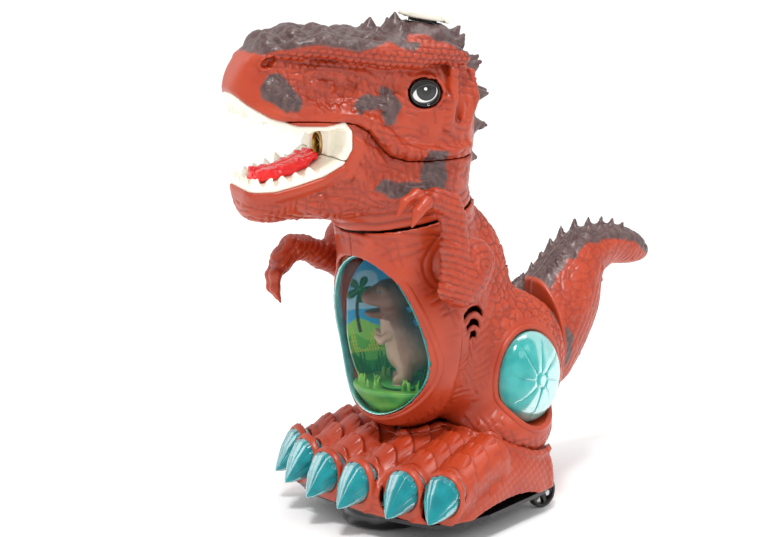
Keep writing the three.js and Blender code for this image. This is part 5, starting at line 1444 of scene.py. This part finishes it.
def foot_form(p):
    x, y, z = p
    ax = np.abs(x)
    d = foot_body(p) + 0.8 + 2.6 * smoothstep(-y, 26, 44) * smoothstep(z, 24, 34)
    for toe in TOES:
        along, across, length = toe_frame(ax, y, toe)
        t = np.clip(along / length, 0, 1)
        top = 50.5 - 14.5 * t**1.7
        width = 11.4 + 1.0 * t
        over = np.maximum(np.abs(along - length / 2) - length / 2, 0)
        section = np.sqrt((across / width) ** 2 + ((z - top + 12) / 12.6) ** 2 + (over / 7) ** 2)
        d = join(d, np.maximum((section - 1) * 11, 14 - z), 1.6)
    return d


def claw_profile(s):
    """Half width, bottom and top of a talon at s from its root (0) to its point (1)."""
    w = np.interp(s, [0, 0.2, 0.45, 0.7, 0.9, 1], [9.4, 10.4, 9.8, 7.2, 3.4, 0.5])
    low = np.interp(s, [0, 0.5, 0.85, 1], [21, 18.6, 17.2, 17.4])
    high = np.interp(s, [0, 0.2, 0.45, 0.7, 0.88, 1], [40, 41.2, 38.4, 31.5, 24, 18.6])
    return w, low, high


def build_claws():
    rows, sides = 54, 120
    s = np.linspace(0, 1, rows)
    w, low, high = claw_profile(s)
    t = np.arange(sides) * 2 * np.pi / sides
    out = []
    for inset in (0.0, 1.5):
        ww, lo, hi = np.maximum(w - inset, 0.2), low + inset, np.maximum(high - inset, low + inset + 0.2)
        cos, sin = np.cos(t)[None, :], np.sin(t)[None, :]
        power = 2 / 2.3
        px = ww[:, None] * np.sign(cos) * np.abs(cos) ** power
        half = ((hi - lo) / 2)[:, None]
        pz = ((hi + lo) / 2)[:, None] + half * np.sign(sin) * np.abs(sin) ** power
        flute = np.where(sin > -0.1, np.abs(np.sin(5 * t))[None, :] ** 0.7, 0.55)
        fade = (smoothstep(s, 0.0, 0.12) * smoothstep(1.0 - s, 0.0, 0.25))[:, None]
        size = 1 + (0.085 * (flute - 0.6) * fade if inset == 0 else 0)
        px = px * size
        pz = ((hi + lo) / 2)[:, None] + (pz - ((hi + lo) / 2)[:, None]) * size
        py = (CLAW_ROOT - CLAW_LENGTH * s)[:, None] - 2.2 * sin * (1 - s[:, None])
        if inset:
            py = np.maximum(py, -12.4)
        out.append(np.stack([px, py, pz], -1).reshape(-1, 3))
    n = rows * sides
    face = sheet_faces(rows, sides, True)
    a, b = np.arange(sides), (np.arange(sides) + 1) % sides
    tip = (rows - 1) * sides
    rim = np.stack([a, b, b + n, a + n], 1)
    v = np.concatenate(out + [out[0][tip:].mean(0)[None, :], out[1][tip:].mean(0)[None, :]])
    caps = [np.stack([tip + a, tip + b, np.full(sides, 2 * n)], 1),
            np.stack([n + tip + b, n + tip + a, np.full(sides, 2 * n + 1)], 1)]
    quads = np.concatenate([face, face[:, ::-1] + n, rim[:, ::-1]])
    tri = np.concatenate([quads[:, [0, 1, 2]], quads[:, [0, 2, 3]], *caps])
    for (s, word), (i, (cx, cy, lean)) in product(SIDES, enumerate(CLAWS, 1)):
        talon = mirrored(turned(v, "Z", lean) + np.array((cx, cy, 0)), tri[:, ::-1], s)
        piece(f"talon_{word}_{i}", *talon, TALON, "torso", [f"claw_{word}_{i}"], "teal")


def claw_clearance(p):
    """Distance to the talons' outer forms, for the sockets in the toes."""
    ax = np.abs(p[0])
    made = None
    for cx, cy, lean in CLAWS:
        c, sn = math.cos(lean), math.sin(lean)
        u = (ax - cx) * c + (p[1] - cy) * sn
        v = -(ax - cx) * sn + (p[1] - cy) * c
        s = np.clip((CLAW_ROOT - v) / CLAW_LENGTH, 0, 1)
        w, low, high = claw_profile(s)
        f = np.sqrt((u / (w + 0.5)) ** 2 + ((p[2] - (low + high) / 2) / ((high - low) / 2 + 0.5)) ** 2) - 1
        d = np.maximum(f * 9, v - 5.6)
        if made is None:
            made, at = d, v
        at = np.where(d < made, v, at)
        made = np.minimum(made, d)
    return made, at


def foot_detail(v, outer):
    x, y, z = v.T
    ax = np.abs(x)
    best = np.full(len(v), 99.0)
    plate_height, plate_edge_shade = np.zeros(len(v)), np.zeros(len(v))
    for toe in TOES:
        along, across, length = toe_frame(ax, y, toe)
        s = (length - along + 0.045 * across**2) / 11.6
        phase = s - np.floor(s)
        saw = (0.15 + 0.85 * phase**1.3) * smoothstep(1 - phase, 0, 0.1) + 0.15 * smoothstep(phase, 0.9, 1)
        edge = np.exp(-((phase / 0.07) ** 2)) + np.exp(-(((phase - 1) / 0.05) ** 2))
        nearer = np.abs(across) < best
        plate_height = np.where(nearer, saw, plate_height)
        plate_edge_shade = np.where(nearer, edge, plate_edge_shade)
        best = np.where(nearer, np.abs(across), best)
    on_toe = smoothstep(-28 - y + 0.25 * (ax - 35), 0, 5) * smoothstep(12.6 - best, 0, 2.5)
    on_toe *= smoothstep(z, 20, 26) * smoothstep(70 - ax, 0, 2)
    nick = wrinkles(best + 0.8 * noise(v, 5, 111), 5.2, 7) * smoothstep(plate_height, 0.3, 0.7)
    falling = wrinkles(y + 0.5 * z + noise(v, 6, 112), 4.2, 5)
    rising = wrinkles(z - 0.35 * y + 0.9 * noise(v, 6, 113), 3.9, 5)
    lattice = 0.3 * np.maximum(falling, rising) * (1 - on_toe)
    depth = on_toe * (3.6 * plate_height - 1.3 - 0.8 * nick) - lattice
    # painted shade along the toe plates' edges and nicks and in the lattice creases
    groove = on_toe * (plate_edge_shade * 0.9 + 0.3 * nick) + lattice
    return depth * outer, np.clip(groove, 0, 1) * outer


def build_feet():
    grid = Grid((-72, -96, 11), (72, 31, 62), 0.78)
    p = grid.p
    x, y, z = p
    form = grid.even(foot_form(p))
    leg = torso_form(p)
    shell = np.maximum(form, -np.maximum(grid.even(foot_body(p, WALL + 0.4)), form + WALL))
    shell = cut(shell, np.maximum(leg - 1.0, 37 - z), 0.8)
    cuff = np.abs(grid.even(leg) - 3.2) - 1.6
    shell = join(shell, np.maximum(np.maximum(cuff, form - 2.2), -form - 3), 1.2)
    shell = cut(shell, np.maximum(leg - 1.0, 37 - z), 0.3)
    clear, along_claw = claw_clearance(p)
    shell = cut(shell, np.maximum(clear - 4.5, along_claw + 1.4), 1)
    plug = np.maximum(clear - 5, np.abs(along_claw - 0.8) - 2.2)
    shell = join(shell, np.maximum(plug, form + 0.4), 0.6)
    cuff = np.maximum(clear - 1.6, np.abs(along_claw + 0.4) - 1.7)
    shell = join(shell, cuff, 1.4)
    shell = cut(shell, clear, 0.4)
    arch = ellipsoid((x, y, z), (0, -24, FOOT_BOTTOM - 4.5), (400, 34, 9))
    shell = cut(shell, np.maximum(arch, 52 - np.abs(x)), 2)
    well = block((np.abs(x), y, z), (34.5, 11.5, 0), (41.5, 40, 20))
    shell = cut(shell, well, 0.5)
    shell = meet(shell, FOOT_BOTTOM - z, 0.4)
    v, faces = grid.surface(shell)
    v = smoothed(v, faces)
    outer = smoothstep(grid.sample(form, v), -1.6, -0.5) * smoothstep(v[:, 2], 14.6, 16.5)
    leg_at = torso_form(v.T)
    outer = outer * smoothstep(leg_at, 1.2, 3.0) * smoothstep(claw_clearance(v.T)[0], 1.8, 4.0)
    depth, crease_shade = foot_detail(v, outer)
    # painted shade where the foot meets the leg
    seam = smoothstep(3.0 - leg_at, 0, 1.5) * (v[:, 2] > 30)
    raised = v + normals_of(v, faces) * depth[:, None]
    masks = {"Paint": np.zeros(len(v)), "CreaseShade": np.maximum(crease_shade, seam * 0.9)}
    piece("foot_skin", raised, faces, SKIN, "torso", ["foot_shell"], "skin", masks=masks)


# ---------------------------------------------------------------- running gear

TURRET_Y = -59
DISC_OUTLINE = [
    (16.7, 1.5), (17.2, 1.2), (19, 1.2), (19.3, 1.7), (20.4, 1.7), (20.7, 1.2), (22.2, 1.2), (23, 2.2),
    (23, 9.6), (22, 10.8), (18.5, 10.8), (18.5, 26.6), (17.6, 27.5), (0.02, 27.5), (0.02, 25.7), (16.1, 25.7),
    (16.7, 25.1),
]
WHEELS = (  # name, radius, half width, x, y, spokes, material, body, slot
    ("rear", 9, 2.5, 38, 22, 5, BLACK, "rear_wheels", "black"),
    ("drive", 9, 2, 11, TURRET_Y, 6, RUBBER, "drive_wheels", "rubber"),
)


def build_turret():
    cup, faces = closed_lathe(DISC_OUTLINE, 96)
    v = cup + np.array((0, TURRET_Y, 0))
    ribs = []
    grid = Grid((-17, -2, 3), (17, 2, 8), 0.5)
    x, y, z = grid.p
    rv, rf = grid.surface(block((np.abs(x), y, z), (13.6, -0.7, 3.4), (16.9, 0.7, 7), 0.3))
    for k in (1, 2, 4, 5):
        ribs.append((turned(rv, "Z", k * math.pi / 6) + np.array((0, TURRET_Y, 0)), rf))
    v, faces = merged((v, faces), *ribs)
    piece("drive_disc", v, faces, GLOSS, "turret", ["drive_turret"], "black")


def wheel(radius, half, spokes):
    """A wheel about z with a ribbed tread, a rim and openings between its spokes."""
    grid = Grid((-radius - 1, -radius - 1, -half - 1), (radius + 1, radius + 1, half + 1), 0.3)
    x, y, z = grid.p
    r, a = np.hypot(x, y), np.arctan2(y, x)
    tread = 0.22 * np.cos(30 * a) * (np.abs(z) < half - 0.6)
    d = meet(r - radius + 0.25 - tread, np.abs(z) - half, 0.6)
    dish = np.maximum(np.maximum(r - radius + 2.0, 2.9 - r), half - 1.1 - np.abs(z))
    d = cut(d, dish, 0.4)
    from_spoke = r * np.abs(np.sin(spokes * a / 2)) * 2 / spokes
    gap = np.maximum(np.maximum(r - radius + 2.4, 3.6 - r), 1.1 - from_spoke)
    d = cut(d, gap, 0.3)
    return grid.surface(cut(d, r - 1.55))


def build_wheels():
    for name, radius, half, x0, y0, spokes, material, body, slot_name in WHEELS:
        v, faces = wheel(radius, half, spokes)
        for s, word in SIDES:
            placed = across_x(v, y0, radius) + np.array((s * x0, 0, 0))
            piece(f"{name}_tyre_{word}", placed, faces, material, body, [f"{name}_wheel_{word}"], slot_name)


# ---------------------------------------------------------------- carried-over CAD pieces

CARRIED = (
    (RUBBER, ("lid_seal",)),
    (CLEAR, ("solution_tank", "feed_tube")),
    (WHITE, ("air_duct", "fan_impeller", "tail_yoke", "turret_retainer", "drive_pinion")),
    (STEEL, ("fan_motor", "figure_motor", "tail_pin", "battery_cover_screw")),
    (STEEL, ("drive_axle", "drive_motor", "rear_axle")),
    (BLACK, ("neck_spigot", "speaker", "neck_bearing", "base_plate")),
    (BLACK, ("battery_box", "battery_cover", "power_switch")),
    (BOARD, ("circuit_board",)),
    (CELL, ("battery_1", "battery_2", "battery_3")),
)
SOFT_EDGE = 0.0003


def dress_carried():
    for material, name in ((material, name) for material, names in CARRIED for name in names):
        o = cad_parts[name]
        o.data.materials.clear()
        o.data.materials.append(material)
        bevel = o.modifiers.new("soft_edges", "BEVEL")
        bevel.width = SOFT_EDGE
        bevel.segments = 2
        bevel.limit_method = "ANGLE"
        bevel.angle_limit = math.radians(40)


# ---------------------------------------------------------------- stage


FLOOR_HALF = 60
WORLD_STRENGTH = 0.75
CAMERA_AT = (0.7574, -0.698, 0.3126)
CAMERA_PITCH, CAMERA_HEADING = math.radians(80), math.radians(50)
CAMERA_LENS = 90
LIGHTS = (  # name, place, kind, size (or the sun's angle), power
    ("key", (0.42, -0.5, 1.35), "SUN", 0.2, 1.7),
    ("side", (1.3, 0.1, 0.9), "AREA", 0.5, 3),
    ("fill", (-1.1, -0.6, 0.7), "AREA", 0.9, 2),
    ("top", (0.1, 0.2, 1.6), "AREA", 0.7, 5),
)
LIT_POINT = Vector((0, 0, 0.13))


def build_stage():
    scene = bpy.context.scene
    world = bpy.data.worlds.new("studio")
    scene.world = world
    world.use_nodes = True
    world.node_tree.nodes["Background"].inputs["Color"].default_value = (1, 1, 1, 1)
    world.node_tree.nodes["Background"].inputs["Strength"].default_value = WORLD_STRENGTH
    mesh = bpy.data.meshes.new("floor")
    corners = [(x * FLOOR_HALF, y * FLOOR_HALF, 0) for x, y in ((-1, -1), (1, -1), (1, 1), (-1, 1))]
    mesh.from_pydata(corners, [], [(0, 1, 2, 3)])
    floor = bpy.data.objects.new("floor", mesh)
    scene.collection.objects.link(floor)
    floor.data.materials.append(plain("floor", (250, 250, 250), (253, 253, 253), 0.7, 20, 0))
    for name, place, kind, size, power in LIGHTS:
        data = bpy.data.lights.new(name, kind)
        data.energy = power
        if kind == "SUN":
            data.angle = size
        else:
            data.size = size
        lamp = bpy.data.objects.new(name, data)
        scene.collection.objects.link(lamp)
        lamp.location = place
        lamp.rotation_euler = (LIT_POINT - Vector(place)).to_track_quat("-Z", "Y").to_euler()
    camera = bpy.data.objects.new("camera", bpy.data.cameras.new("camera"))
    scene.collection.objects.link(camera)
    camera.location = CAMERA_AT
    camera.rotation_euler = (CAMERA_PITCH, 0, CAMERA_HEADING)
    camera.data.lens = CAMERA_LENS
    camera.data.sensor_width = 36
    camera.data.clip_start = 0.01
    scene.camera = camera
    scene.view_settings.view_transform = "Standard"


build_head()
build_mouth()
build_tongue()
build_outlet()
build_eyes()
build_lid()
build_torso()
build_borders()
build_chest_window()
build_thighs()
build_backdrop()
build_figure()
build_arms()
build_tail()
build_feet()
build_claws()
build_turret()
build_wheels()
dress_carried()
build_stage()
